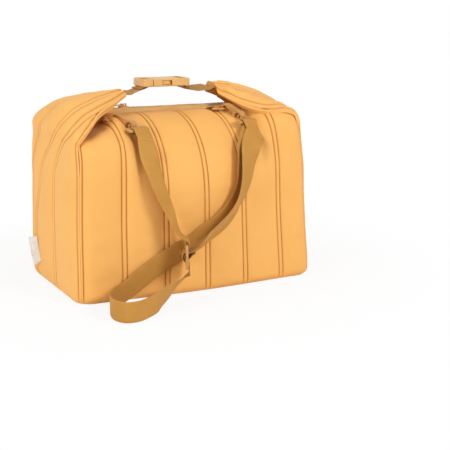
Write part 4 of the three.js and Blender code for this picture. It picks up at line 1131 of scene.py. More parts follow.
# %% Side and ear quilts
def climb_rows():
    """(kind, parameter, climb) for every row from the hem to the ear's tip."""
    foot = np.linspace(LOW_EDGE, 15, 10)
    rows = [("wall", z, z) for z in [*foot, *np.linspace(15, SIDE_TOP, 45)[1:]]]
    for t in np.linspace(0, 1, 64)[1:]:
        rows.append(("ear", t, EAR_START + EAR_LENGTH * t))
    return rows


def side_quilt_grids(side, seed, ripples, softness):
    """Faces of one side wall with its ear, in millimetres, and their seam lines."""
    base, gap_left, gap_right, climbs, lines = [], [], [], [], []
    for kind, value, climb in climb_rows():
        stretch = 1.0 if kind == "wall" else ear_stretch(value, side)
        seams = seams_at(climb)
        q = led_columns(seams, stretch)
        lines.append((seams, q, SIDE_BAND_HALF * stretch))
        across = wall_share(q * (1 - EDGE_TRIM / SIDE_END), SIDE_FLAT)
        if kind == "wall":
            base.append(side_surface(across, value, side))
        else:
            even = smooth(value, *EAR_EVENING)
            across = across * (1 - even) + np.clip(q / SIDE_END, -1, 1) * even
            base.append(ear_surface(across, value, side))
        left, right = nearest_seams(q, seams)
        gap_left.append(left / stretch)
        gap_right.append(right / stretch)
        climbs.append(np.full_like(q, climb))
    base = np.stack(base)
    climb = np.stack(climbs)
    fold = int(np.searchsorted(climb[:, 0], EAR_START))
    for _ in range(FOLD_ROUNDS):
        near = base[fold - FOLD_REACH:fold + FOLD_REACH + 1]
        before = base[fold - FOLD_REACH - 1:fold + FOLD_REACH]
        after = base[fold - FOLD_REACH + 1:fold + FOLD_REACH + 2]
        base[fold - FOLD_REACH:fold + FOLD_REACH + 1] = (before + 2 * near + after) / 4
    left = np.stack(gap_left) - (SIDE_BAND_HALF - BAND_HALF)
    right = np.stack(gap_right) - (SIDE_BAND_HALF - BAND_HALF)
    normal = -grid_normals(base)
    height = quilt_height(np.maximum(left, 0), np.maximum(right, 0), SIDE_CROWN)
    fade = smooth(climb, *HEM_FADE)
    height = FLOOR_LIFT + (height - FLOOR_LIFT) * fade
    between = between_seams(left, right)
    on_ear = smooth(climb, *ON_EAR)
    wrinkle = creases(base, *SIDE_BROAD_FOLDS, seed)
    wrinkle += creases(base * SIDE_SQUEEZE, *SIDE_FINE_FOLDS, seed + 3)
    height = height + wrinkle * between * fade * (1 + softness * on_ear)
    near_tip = smooth(climb, *NEAR_TIP)
    length, depth = ripples
    ripple = np.sin((climb - NEAR_TIP[0]) / length + RIPPLE_SLANT * base[..., 1]) * depth
    height = height + ripple * near_tip * np.clip(np.minimum(left, right) / RIPPLE_EDGE, 0, 1)
    seam = seam_value(left, right) * smooth(climb, *SEAM_CLIMB)
    return base + normal * height[..., None], base - normal * PANEL_THICKNESS, seam, lines


side_pieces = {}
side_grids = {}
for side, seed, ripples, softness in (("left", 11, (4.2, 0.2), -0.6),
                                      ("right", 23, (4.6, 1.0), 0.9)):
    side_outer, side_inner, side_seam, side_lines = side_quilt_grids(side, seed, ripples, softness)
    if side == "right":
        side_outer, side_inner = flipped(side_outer, 0), flipped(side_inner, 0)
    side_grids[side] = (side_outer, side_lines)
    side_pieces[side] = slab(f"quilt_{side}", side_outer, side_inner, side_cloth, side_seam)
    print(side, "side and ear:", side_outer.shape[0], "rows of", side_outer.shape[1])


def fold_span(side):
    """Where the cloth of one side begins to bend with its ear, and where it has turned."""
    x = -FOLD_PLACE if side == "left" else FOLD_PLACE
    return {"start": (x, 0, FOLD_FROM), "end": (x, 0, FOLD_TO)}


for side, piece in side_pieces.items():
    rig.padded(piece, 0.5)
    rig.blend(piece, "bag", f"{side}_ear", **fold_span(side))
    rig.replaces(piece, f"{side}_side_panel", f"{side}_ear")
    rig.slot(piece, "side_cloth")

# %% [markdown]
# Under each ear the cloth from the zip's end comes out to meet it, and it hangs in a
# shallow belly. It is seen only from the front, between the ear and the roof, where its
# folds make the dark opening look like cloth and not like a hole.

# %% Undersides of the ears
UNDERSIDE_START = 0.36
UNDERSIDE_END = 0.86
UNDERSIDE_HANG = 15.0
UNDERSIDE_THICKNESS = 3.0
UNDERSIDE_GAP = 4.6
UNDERSIDE_HALF = 0.95
UNDERSIDE_FOLDS = (0.045, 1.2)
UNDERSIDE_DROP = 0.4


def underside_grid(side, drop, seed):
    columns = np.linspace(-UNDERSIDE_HALF, UNDERSIDE_HALF, 45)
    levels = np.linspace(UNDERSIDE_START, UNDERSIDE_END, 30)
    fine = np.stack([ear_surface(columns, t, side) for t in levels])
    normal = -grid_normals(fine)
    way = (UNDERSIDE_END - levels) / (UNDERSIDE_END - UNDERSIDE_START)
    along = np.sin(np.pi * np.clip(way, 0, 0.6))
    hang = UNDERSIDE_HANG * along[:, None] * (1 - columns[None, :] ** 2)
    under = fine - normal * UNDERSIDE_GAP
    fold = creases(fine, *UNDERSIDE_FOLDS, seed) * (1 - columns[None, :] ** 2)
    under[..., 2] -= hang + drop + UNDERSIDE_DROP + np.abs(fold)
    return under


for side, seed in (("left", 31), ("right", 41)):
    top = underside_grid(side, 0.0, seed)
    low = underside_grid(side, UNDERSIDE_THICKNESS - 0.6, seed)
    if side == "right":
        top, low = flipped(top, 0), flipped(low, 0)
    piece = slab(f"ear_lining_{side}", top, low, shell_cloth)
    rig.padded(piece, 0.2)
    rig.ride(piece, f"{side}_ear")
    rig.replaces(piece, f"{side}_ear_underside")
    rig.slot(piece, "panel_cloth")
print("ear linings made")

# %% [markdown]
# The base is a stiffened panel with a sewn edge. It stands on the floor, so it is flat
# below, and its edge rolls up between the hems of the walls.

# %% Base
BASE_LEVEL = 0.04
BASE_TOP = 2.7
BASE_RIM_INSET = 6.0
BASE_PROFILE = [(54, 0.0), (14, 0.0), (8, 0.25), (7, 0.7), (6, 0.25), (2.2, 0.0), (0.6, 0.3),
                (0.0, 0.9), (0.0, BASE_TOP - 0.4), (0.6, BASE_TOP), (30, BASE_TOP), (54, BASE_TOP)]


def back_surface(c, v):
    """The back wall in its own place, with c still from the left corner to the right."""
    return flipped(front_surface(c, v, BACK), 1)


def outline_at(level, inset):
    """Points once round the bag at one level, drawn in by inset."""
    front = front_surface(np.linspace(-1, 1, 61), level)
    back = back_surface(np.linspace(1, -1, 61), level)
    left = side_surface(np.linspace(1, -1, 37)[1:-1], front[0, 2])
    right = flipped(left, 0)[::-1]
    loop = np.concatenate([front, right, back, left])
    return loop * (1 - inset / HALF_LENGTH, 1 - inset / HALF_DEPTH, 1)


def stacked_loops(name, levels, material):
    """A closed skin over loops (level, inset, height or None), capped at both ends."""
    loops = []
    for level, inset, height in levels:
        loop = outline_at(level, inset)
        if height is not None:
            loop[:, 2] = height
        loops.append(loop)
    first = len(loops) * len(loops[0])
    numbers = closed_round(np.arange(first).reshape(len(loops), -1), 1)
    faces = quads_of(numbers)
    for a, b in zip(numbers[0], numbers[0][1:]):
        faces.append((first, b, a))
    for a, b in zip(numbers[-1], numbers[-1][1:]):
        faces.append((first + 1, a, b))
    points = np.concatenate([*loops, [loops[0].mean(axis=0), loops[-1].mean(axis=0)]])
    return make_piece(name, points, faces, material, points[:, :2])


base_cloth = stacked_loops("base_cloth", [(BASE_LEVEL, inset + BASE_RIM_INSET, height)
                                          for inset, height in BASE_PROFILE], base_cloth_finish)
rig.padded(base_cloth, 0.3)
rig.ride(base_cloth, "bag")
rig.replaces(base_cloth, "base_panel")
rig.slot(base_cloth, "panel_cloth")
print("base:", len(base_cloth.data.polygons), "faces")

# %% [markdown]
# Inside, foam boards stand behind the cloth and a silvery film lines them. They don't
# show while the bag is shut, but the model is looked at when it is opened, so they get
# their own closed meshes with slightly soft faces.

# %% Foam and lining
FOAM_NEAR = 4.6
FOAM_FAR = 9.6
FOAM_DENTS = (0.03, 0.3)
LINING_NEAR = 11.2
LINING_FAR = 12.2
FOAM_BOTTOM = 3.0
FOAM_FLOOR = 7.6


def board_faces(surface, columns, levels, direction, seed):
    """The two faces of a board behind a wall, with faint dents."""
    share_grid, level_grid = np.meshgrid(columns, levels)
    base = surface(share_grid, level_grid)
    normal = grid_normals(base) * direction
    dent = np.abs(creases(base, *FOAM_DENTS, seed))[..., None]
    return base - normal * (FOAM_NEAR + dent), base - normal * (FOAM_FAR - dent)


long_grid = (np.linspace(-0.88, 0.88, 33), np.linspace(0.09, 1.5, 24))
side_grid = (np.linspace(-0.8, 0.8, 21), np.linspace(11, 176, 20))
faces_of = {
    "front": board_faces(front_surface, *long_grid, 1, 51),
    "back": board_faces(back_surface, *long_grid, -1, 51),
    "left": board_faces(side_surface, *side_grid, -1, 53),
}
faces_of["right"] = [flipped(face, 0) for face in faces_of["left"]]
for side, (near, far) in faces_of.items():
    board = slab(f"foam_{side}", near, far, lining_foam)
    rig.padded(board, 0.9)
    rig.ride(board, "bag")
    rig.replaces(board, f"{side}_insulation")
    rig.slot(board, "foam")

floor_rings = [(BASE_LEVEL, inset, height)
               for inset, height in ((9.6, FOAM_BOTTOM), (9.3, 4.0), (9.3, 6.6), (9.6, FOAM_FLOOR))]
foam_floor = stacked_loops("foam_floor", floor_rings, lining_foam)
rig.padded(foam_floor, 0.9)
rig.ride(foam_floor, "bag")
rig.replaces(foam_floor, "base_insulation")
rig.slot(foam_floor, "foam")

lining_levels = [0.14, 0.3, 0.5, 0.75, 1.0, 1.08, 1.16]
lining_rings = [(0.1, LINING_NEAR + 1, 8.2)]
lining_rings += [(level, LINING_NEAR, None) for level in lining_levels]
lining_rings += [(level, LINING_FAR, None) for level in lining_levels[::-1]]
lining_rings += [(0.1, LINING_FAR + 1, 9.2)]
lining = stacked_loops("lining", lining_rings, lining_film)
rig.ride(lining, "bag")
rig.replaces(lining, "liner")
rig.slot(lining, "liner_film")
print("boards:", len(faces_of) + 1, "and one lining")

# %% [markdown]
# Webbing is a flat band that bends easily one way and hardly at all the other. A ribbon
# is therefore stated as stops: a place, and the direction across the band. The band
# follows a spline through the places, and it stays square to its own path. Its edges
# are rounded, because woven edges are.


# %% Ribbons
WEB_THICKNESS = 1.5
WEB_LAYER_GAP = 0.3
RIBBON_COLUMNS = 15
EDGE_POWER = 10


def counts_between(places, step):
    """How many short steps go from each place to the next."""
    spans = np.linalg.norm(np.diff(places, axis=0), axis=1)
    return [max(1, int(round(span / step))) for span in spans]


def ribbon_frames(stops, step):
    """Middle, across and normal of a ribbon at short steps along its stops."""
    places = np.array([place for place, _ in stops], float)
    spans = np.array([unit(across) for _, across in stops])
    shares = [(i + k / count) / (len(stops) - 1)
              for i, count in enumerate(counts_between(places, step)) for k in range(count)]
    shares.append(1.0)
    middle = np.array([spline(places, t) for t in shares])
    across = np.array([spline(spans, t) for t in shares])
    along = unit(np.gradient(middle, axis=0))
    across = unit(across - along * (across * along).sum(axis=1, keepdims=True))
    return middle, across, np.cross(along, across)


def ribbon_grids(frames, width):
    """Upper and lower faces of a ribbon."""
    middle, across, normal = frames
    share = np.linspace(-1, 1, RIBBON_COLUMNS)
    half = WEB_THICKNESS / 2 * np.sqrt(np.clip(1 - np.abs(share) ** EDGE_POWER, 0, 1))
    centre = middle[:, None, :] + across[:, None, :] * (share[None, :, None] * width / 2)
    lift = normal[:, None, :] * half[None, :, None]
    return centre + lift, centre - lift


def ribbon_piece(name, frames, width, material):
    return slab(name, *ribbon_grids(frames, width), material)


def fold_round(bar, away, outer, across, radius, tail, droop=0.0):
    """Stops of webbing turned round a bar; its sewn end lies under the running layer."""
    bar, away, outer = (np.asarray(v, float) for v in (bar, away, outer))
    half = (WEB_THICKNESS + WEB_LAYER_GAP) / 2

    def at(reach, rise):
        return (bar + away * reach + outer * rise, across)

    turn = [at(radius * math.cos(math.radians(a)), radius * math.sin(math.radians(a)))
            for a in (-90, -135, 180, 135, 90)]
    under = []
    if tail > 0:
        under = [at(tail, -half - droop), at((tail + 7) / 2, -half - 0.4 - droop / 2),
                 at(7, -half - 0.9)]
    return under + turn + [at(7, half + 0.9), at(13, half)]


def squared(direction, across):
    """The direction made square to the width of the webbing."""
    direction = np.asarray(direction, float)
    across = np.asarray(across, float)
    return unit(direction - across * direction.dot(across))


def towards(vector, side):
    """The vector at unit length, turned round where it points away from a side."""
    vector = unit(vector)
    return vector if vector.dot(side) > 0 else -vector


# %% [markdown]
# The two ends of the strap hang from swivel hooks. Each hook has its own frame: it grips
# a ring, it points towards the strap, and it is pitched down. The same numbers place the
# hooks in the CAD part, so the strap meets them exactly.

# %% Frames of the hooks and the adjuster
HOOKS = {
    "left": {"grip": (-86.5, -41, 214.4), "toward": (-72, -76), "pitch": 14.5},
    "right": {"grip": (65.5, -41, 221.3), "toward": (79, -76), "pitch": 21.0},
}
LOOP_BAR_Y = -40.2
STRAP_WIDTH = 25.0
STRAP_FOLD_RADIUS = 3.41
ADJUSTER_FOLD_RADIUS = 3.27
HOOK_TAIL = 12.0
SEWN_TAIL = 11.0
SEWN_DROOP = 1.2


def pitched_frame(origin, forward, pitch):
    """Columns across, back and up of a hook's frame, and its origin."""
    level = unit((forward[0], forward[1], 0))
    back = -level * math.cos(math.radians(pitch))
    back[2] = math.sin(math.radians(pitch))
    across = unit((back[1], -back[0], 0))
    return across, back, np.cross(across, back), np.asarray(origin, float)


def hook_frame(side, pitch=None):
    hook = HOOKS[side]
    forward = np.subtract(hook["toward"], hook["grip"][:2])
    return pitched_frame(hook["grip"], forward, hook["pitch"] if pitch is None else pitch)


def loop_bar(side):
    """(place, direction across) of the bar that the strap turns round."""
    across, back, _, origin = hook_frame(side)
    return origin + back * LOOP_BAR_Y, across


ADJUSTER_CENTRE = np.array([-35.0, -131.0, 56.0])
ADJUSTER_YAW = math.atan2(0.91, 0.41)
ADJUSTER_ACROSS = np.array([math.cos(ADJUSTER_YAW), math.sin(ADJUSTER_YAW), 0])
ADJUSTER_OUT = np.array([math.sin(ADJUSTER_YAW), -math.cos(ADJUSTER_YAW), 0])


def adjuster_point(out, up):
    return ADJUSTER_CENTRE + ADJUSTER_OUT * out + np.array([0, 0, up])


print("left strap bar at", np.round(loop_bar("left")[0], 1), "mm")

# %% [markdown]
# The shoulder strap is one band. It leaves the left hook, passes through the adjuster,
# falls to the floor, lies there in a loop on its edge, climbs across the front to the
# right hook, turns round it and comes back down to the adjuster. The stops below follow
# it from end to end, and only afterwards is it cut into the stretches that move with
# different parts.

# %% The strap's way
OVER_BAR = 2.85
BEHIND_FOLD = -5.07
DOWNRIGHT = (0, 0, -1)
LEAN = (-0.45, 0, 0.9)


def strap_start():
    """From the sewn end at the left hook down to the adjuster."""
    bar, wide = loop_bar("left")
    away = squared(np.subtract((-70, -95, 186), bar), wide)
    outer = towards(np.cross(away, wide), (0, -1, 0))
    stops = fold_round(bar, away, outer, wide, STRAP_FOLD_RADIUS, HOOK_TAIL)
    stops += [
        ((-69.5, -101, 176), (1, 0.1, 0.1)),
        ((-66.5, -107, 158), (1, 0.4, 0.05)),
        ((-61, -114, 135), (0.9, 0.5, 0)),
        ((-51, -117, 110), (0.8, 0.65, 0)),
        ((-42, -125, 82), (0.5, 0.85, 0)),
    ]
    for out, ups in ((OVER_BAR, (17, 14, 11.2)), (BEHIND_FOLD, (2.5, -2.5)),
                     (OVER_BAR, (-11.2, -14, -19))):
        stops += [(adjuster_point(out, up), ADJUSTER_ACROSS) for up in ups]
    return stops


def strap_middle():
    """From the adjuster to the floor, round the loop and back to the bag's front."""
    ground = STRAP_WIDTH / 2 + 0.6
    stops = [
        (adjuster_point(OVER_BAR, -23), ADJUSTER_ACROSS),
        ((-41.5, -132.5, 26.5), (0.6, 0.79, -0.1)),
        ((-51, -135.5, 21.5), (0.55, 0.78, -0.3)),
        ((-63.5, -142.5, 17), (0.35, 0.6, -0.7)),
        ((-77.5, -154, 14.6), (0.1, 0.3, -0.95)),
        ((-92, -169, ground + 0.4), DOWNRIGHT),
    ]
    route = [(-108, -181), (-124, -189), (-138, -187), (-145, -174),
             (-144, -155), (-135, -136), (-122, -122)]
    stops += [((x, y, ground), DOWNRIGHT) for x, y in route]
    return stops + [((-109, -115.2, 16.6), (0.2, 0, -1)), ((-104.6, -113.9, 18.3), (0.2, 0, -1))]


def strap_end():
    """Up to the right hook, round its bar and down to the sewn end on the adjuster."""
    bar, wide = loop_bar("right")
    away = squared(np.subtract((76, -99, 186), bar), wide)
    outer = towards(np.cross(away, wide), (0, -1, 0))
    half = (WEB_THICKNESS + WEB_LAYER_GAP) / 2
    stops = [
        ((-101, -112.9, 19.8), (-0.2, 0, 1)),
        ((-90, -111.5, 27), LEAN),
        ((-70, -111, 39), LEAN),
        ((-50, -111.5, 50), LEAN),
        ((-37, -112, 56), LEAN),
        ((-20, -112, 64), (-0.5, 0, 0.86)),
        ((0, -111.8, 76), (-0.55, 0, 0.83)),
        ((23, -111.5, 90), (-0.7, -0.1, 0.7)),
        ((39, -111, 108), (-0.75, -0.3, 0.55)),
        ((48.5, -109, 130), (-0.68, -0.62, 0.3)),
        ((53, -104, 155), (-0.7, -0.7, 0.15)),
        ((61, -96, 177), (-0.9, -0.4, 0.1)),
        ((71, -88.5, 190), (-1, -0.3, 0.1)),
        (bar + away * 7 - outer * (half + 0.9), -wide),
    ]
    turn = fold_round(bar, away, outer, wide, STRAP_FOLD_RADIUS, 0)
    stops += [(place, -np.asarray(wide)) for place, _ in turn]
    down = [
        ((69.5, -102, 181), (1, -0.1, 0)),
        ((62.5, -109, 163), (0.95, 0.3, -0.1)),
        ((55.5, -115.5, 138), (0.75, 0.5, -0.35)),
        ((45, -119.5, 116), (0.6, 0.7, -0.4)),
        ((30, -121.5, 99), (0.5, 0.8, -0.35)),
        ((14, -124, 87), (0.5, 0.8, -0.35)),
        ((-2, -127, 77), (0.5, 0.8, -0.3)),
    ]
    stops += [(place, -np.asarray(across)) for place, across in down]
    back = adjuster_point(0, 0)
    leave = squared(adjuster_point(15, 10) - back, ADJUSTER_ACROSS)
    top = towards(np.cross(leave, ADJUSTER_ACROSS), (0, 0, 1))
    sewn = fold_round(back, leave, top, -ADJUSTER_ACROSS, ADJUSTER_FOLD_RADIUS, SEWN_TAIL,
                      SEWN_DROOP)
    return [(place, -np.asarray(across)) for place, across in stops + sewn[::-1]]


parts = [strap_start(), strap_middle(), strap_end()]
print("strap stops:", [len(part) for part in parts])

# %% Strap pieces
STRAP_STEP = 2.2
BEND_START = (0, -0.028, -0.032)
BEND_END = (0, -0.008, -0.009)
STRAP_PIECES = (
    ("strap_upper_left", ["strap_left_run"], ["left_strap_loop"], "left"),
    ("strap_floor_fall", ["strap_fall", "strap_floor_loop"],
     ["strap_adjuster", "quilt_front"], None),
    ("strap_right", ["strap_right_inner", "strap_right_outer"], ["right_strap_loop"], "right"),
)


def stretches(stops_by_part, step):
    """Frames of the whole band, cut where one part's stops end."""
    stops = [stop for part in stops_by_part for stop in part]
    places = np.array([place for place, _ in stops], float)
    rows = np.concatenate([[0], np.cumsum(counts_between(places, step))])
    middle, across, normal = ribbon_frames(stops, step)
    cuts, total = [], 0
    for part in stops_by_part[:-1]:
        total += len(part)
        cuts.append(int(rows[total - 1]))
    edges = [0, *cuts, len(middle) - 1]
    return [(middle[a:b + 1], across[a:b + 1], normal[a:b + 1]) for a, b in zip(edges, edges[1:])]


def bend_below(side):
    """Where a strap begins to bend and where it has turned fully, below a hook's bar."""
    bar = loop_bar(side)[0] * MM
    return {"start": tuple(bar + BEND_START), "end": tuple(bar + BEND_END)}


strap_frames = stretches(parts, STRAP_STEP)
for (name, nodes, rests_on, side), frames in zip(STRAP_PIECES, strap_frames):
    piece = ribbon_piece(name, frames, STRAP_WIDTH, strap_webbing)
    length = length_of(frames[0]) * MM
    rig.sheet(piece, flat=(STRAP_WIDTH * MM, length), held="hung", rests_on=rests_on)
    if side:
        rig.blend(piece, "bag", f"{side}_ring", **bend_below(side))
    else:
        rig.ride(piece, "bag")
    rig.replaces(piece, *nodes)
    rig.slot(piece, "webbing")
    print(name, "%.0f mm" % (length / MM))

# %% [markdown]
# The handle is two short webs, one from each ear, that meet in the buckle. Each web is
# sewn under its ear's tip, where it takes the ear's arch, and flattens towards the
# buckle. It turns round the bar and comes back a little, where it is sewn to itself.

# %% Handle webs
HANDLE_WIDTH = 30.0
EAR_TIP_X = 66.0
EAR_THICKNESS = 4.0
TIP_WEB_Z = {-1: 242.5, 1: 247.5}
BUCKLE_BOTTOM = 251.0
HANDLE_BAR_Z = BUCKLE_BOTTOM + 2.0
HANDLE_FOLD_RADIUS = 3.05
HANDLE_RIM = BUCKLE_BOTTOM - 1.0
UNDER_RIM = HANDLE_RIM - 1.85
WEB_TILT = {-1: 0.12, 1: 0.2}
ANCHOR_SHARES = (0.86, 0.9, 0.94, 0.975)
BEND_FROM, BEND_TO, BEND_LEVEL = 0.070, 0.060, 0.2425


def handle_web_stops(bar_x, side, dip):
    """Stops of the web from the ear's tip to the fold on the buckle's bar; its front
    edge hangs a little lower between the two."""
    span = abs(side * (EAR_TIP_X + 1.6) - bar_x)

    def at(reach, z):
        return ((bar_x + side * reach, 0, z), (0, 1, 0))

    turn = []
    for angle in (-90, -135, 180, 135, 90, 45, 0):
        a = math.radians(angle)
        rise = HANDLE_BAR_Z + HANDLE_FOLD_RADIUS * math.sin(a)
        turn.append(at(HANDLE_FOLD_RADIUS * math.cos(a), rise))
    free = [(at(*d)[0], (0, 1, WEB_TILT[side])) for d in dip]
    tip = TIP_WEB_Z[side]
    return [at(span, tip), at(span - 5, tip), *free,
            at(15.5, UNDER_RIM - 3.2), at(10, UNDER_RIM - 1.4), at(4.4, UNDER_RIM + 0.25),
            *turn, at(HANDLE_FOLD_RADIUS + 0.9, HANDLE_RIM + 0.2), at(10, HANDLE_RIM - 1.1)]


def handle_web(name, side, bar_x, dip):
    """The anchor under the ear and the free web as one band."""
    frames = ribbon_frames(handle_web_stops(bar_x, side, dip), 1.8)
    upper, lower = ribbon_grids(frames, HANDLE_WIDTH)
    share = np.linspace(-1, 1, RIBBON_COLUMNS)
    half = WEB_THICKNESS / 2 * np.sqrt(np.clip(1 - np.abs(share) ** EDGE_POWER, 0, 1))
    rows_up, rows_down = [], []
    ear = "left" if side < 0 else "right"
    for t in ANCHOR_SHARES:
        edges = np.abs(ear_surface(np.array([-1.0, 1.0]), t, ear)[:, 1])
        reach = HANDLE_WIDTH / 2 / np.where(share < 0, edges[0], edges[1])
        line = ear_surface(share * reach, t, ear)
        ahead = ear_surface(share * reach, t + 0.01, ear)
        normal = unit(np.cross(np.gradient(line, axis=0), ahead - line))
        normal *= np.sign(normal[:, 2:3])
        centre = line - normal * (EAR_THICKNESS + 0.3 + WEB_THICKNESS / 2)
        centre[:, 0] *= -side
        normal[:, 0] *= -side
        rows_up.append(centre + normal * half[:, None])
        rows_down.append(centre - normal * half[:, None])
    flip = float(np.sign(frames[2][0][2]))
    if flip < 0:
        upper, lower = lower, upper
    order = slice(None) if frames[1][0][1] > 0 else slice(None, None, -1)
    upper, lower = upper[:, order], lower[:, order]
    upper = np.concatenate([np.stack(rows_up), upper])
    lower = np.concatenate([np.stack(rows_down), lower])
    centre = (upper + lower)[:, upper.shape[1] // 2] / 2
    return slab(name, upper, lower, handle_webbing), length_of(centre) * MM


for side, sign, bar_x, dip, body in (
    ("left", -1, -34.6, [(22, 243.6)], "buckle_plug"),
    ("right", 1, 15.5, [(38, 247), (24, 246)], "buckle_socket"),
):
    web, web_length = handle_web(f"handle_web_{side}", sign, bar_x, dip)
    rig.sheet(web, flat=(HANDLE_WIDTH * MM, web_length), held="stretched",
             rests_on=[f"quilt_{side}"])
    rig.blend(web, f"{side}_ear", body, start=(sign * BEND_FROM, 0, BEND_LEVEL),
             end=(sign * BEND_TO, 0, BEND_LEVEL))
    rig.replaces(web, f"{side}_web_anchor", f"{side}_handle_web")
    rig.slot(web, "webbing")
print("handle webs made")

# %% [markdown]
# The zip is two tapes that stand up from the roof like a soft wavy fold, with a chain of
# teeth between them. Cloth tape never runs straight, so two slow waves of different
# lengths push it in and out. Each tape is thickest where it is folded round its own edge.

# %% Zip tapes
ZIP_LEFT, ZIP_RIGHT = -92.0, 92.0
CHAIN_HEIGHT = 223.6
TAPE_THICKNESS = 1.3
TAPE_PLACES = 150
TAPE_ROWS = 17
TAPE_WAVES = ((6.3, 1, 0.8), (10.7, 2, 0.9))
ROOF_SHARE_X = 0.975


def tape_grids(sign, seed):
    """Outer and inner faces of one tape; sign is -1 for the front and 1 for the back."""
    places = np.linspace(ZIP_LEFT, ZIP_RIGHT, TAPE_PLACES)
    share = np.linspace(0, 1, TAPE_ROWS)
    share_of_wall = places / ROOF_SHARE_X / STRAIGHT_HALF * STRAIGHT_SHARE
    edge = long_wall(share_of_wall, 2.0, FRONT if sign < 0 else BACK)[:, 2]
    wave = sum(np.sin(places / length + turns * seed) * push for length, turns, push in TAPE_WAVES)
    rows = []
    for x, low, push in zip(places, edge, wave):
        across = [-9.6, -8.3, -6.6 + 0.6 * push, -5.6 + 0.8 * push, -4.4 + 0.5 * push, -2.9]
        height = [low - 2.4, low + 0.9, low + 0.55 * (CHAIN_HEIGHT - low),
                  CHAIN_HEIGHT - 0.6 + 0.35 * push, CHAIN_HEIGHT + 0.7 + 0.2 * push, CHAIN_HEIGHT]
        stops = np.stack([np.full(6, x), across, height], axis=-1)
        rows.append([spline(stops, t) for t in share])
    middle = np.array(rows) * (1, -sign, 1)
    normal = grid_normals(middle)
    thick = TAPE_THICKNESS / 2 * (0.6 + 0.6 * np.sin(np.pi * share) ** 2)[None, :, None]
    return middle + normal * thick, middle - normal * thick


for side, sign, seed in (("front", -1, 0.7), ("back", 1, 2.9)):
    tape = slab(f"tape_{side}", *tape_grids(sign, seed), zip_finish)
    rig.ride(tape, "bag")
    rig.replaces(tape, f"zip_tape_{side}")
    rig.slot(tape, "zip_tape")
print("zip tapes:", ZIP_RIGHT - ZIP_LEFT, "mm long")

# %% [markdown]
# Stitches and zip teeth are many copies of one small shape, which is what Geometry Nodes
# are for. The tree below takes bare points, puts a shape on each one and turns it by the
# value called turn. It ends by making the copies real, so the result is one plain mesh.

# %% Copies on points
STITCH_PITCH = 3.6
STITCH_SIZE = (2.7, 0.6, 0.5)


def copies_tree(name, shape):
    """A node tree that puts a sphere or a box on every point it is given."""
    tree = bpy.data.node_groups.new(name, "GeometryNodeTree")
    wanted = {"Points": "Geometry", "Length": "Float", "Width": "Float", "Height": "Float",
              "Material": "Material"}
    sockets = {title: tree.interface.new_socket(title, in_out="INPUT",
                                                socket_type="NodeSocket" + kind)
               for title, kind in wanted.items()}
    tree.interface.new_socket("Copies", in_out="OUTPUT", socket_type="NodeSocketGeometry")

    def add(kind, feeds=(), **values):
        """Adds a node, feeds inputs from (input, output) pairs and sets others by name."""
        node = tree.nodes.new(kind)
        for slot, output in feeds:
            tree.links.new(output, node.inputs[slot])
        for title, value in values.items():
            node.inputs[title].default_value = value
        return node

    given = add("NodeGroupInput").outputs
    size = add("ShaderNodeCombineXYZ",
               zip("XYZ", (given["Length"], given["Width"], given["Height"])))
    if shape == "sphere":
        source = add("GeometryNodeMeshUVSphere", Segments=6, Rings=4, Radius=0.5)
    else:
        source = add("GeometryNodeMeshCube")
    scaled = add("GeometryNodeTransform",
                 [("Geometry", source.outputs["Mesh"]), ("Scale", size.outputs[0])])
    turn = add("GeometryNodeInputNamedAttribute", Name="turn")
    turn.data_type = "FLOAT_VECTOR"
    rotation = add("FunctionNodeEulerToRotation", [(0, turn.outputs["Attribute"])])
    placed = add("GeometryNodeInstanceOnPoints",
                 [("Points", given["Points"]), ("Instance", scaled.outputs["Geometry"]),
                  ("Rotation", rotation.outputs[0])])
    real = add("GeometryNodeRealizeInstances", [(0, placed.outputs[0])])
    dressed = add("GeometryNodeSetMaterial",
                  [("Geometry", real.outputs[0]), ("Material", given["Material"])])
    add("NodeGroupOutput", [(0, dressed.outputs[0])])
    return tree, {title: socket.identifier for title, socket in sockets.items()}


def copies(name, tree_and_names, places, size, material):
    """One mesh of a small shape on every (point, direction, normal), in millimetres."""
    tree, names = tree_and_names
    mesh = bpy.data.meshes.new(f"{name}_points")
    mesh.from_pydata([(np.asarray(point) * MM).tolist() for point, _, _ in places], [], [])
    turn = mesh.attributes.new("turn", "FLOAT_VECTOR", "POINT")
    for number, (_, direction, normal) in enumerate(places):
        ahead = Vector(direction).normalized()
        side = Vector(normal).cross(ahead).normalized()
        basis = Matrix((ahead, side, ahead.cross(side))).transposed()
        turn.data[number].vector = basis.to_euler()
    holder = bpy.data.objects.new(f"{name}_points", mesh)
    scene.collection.objects.link(holder)
    modifier = holder.modifiers.new("copies", "NODES")
    modifier.node_group = tree
    for title, value in zip(("Length", "Width", "Height"), size):
        modifier[names[title]] = value * MM
    modifier[names["Material"]] = material
    evaluated = holder.evaluated_get(bpy.context.evaluated_depsgraph_get())
    made = bpy.data.objects.new(name, bpy.data.meshes.new_from_object(evaluated))
    made.data.name = name
    bpy.data.objects.remove(holder)
    scene.collection.objects.link(made)
    return made


stitch_tree = copies_tree("stitch_copies", "sphere")
tooth_tree = copies_tree("tooth_copies", "box")
print("node trees:", stitch_tree[0].name, tooth_tree[0].name)

# %% Zip teeth
TOOTH_PITCH = 2.5
TOOTH_SIZE = (1.3, 3.4, 2.2)
TOOTH_ROUND = 0.0003
TOOTH_ASIDE = 0.9
CHAIN_START, CHAIN_END = -54.0, 88.0

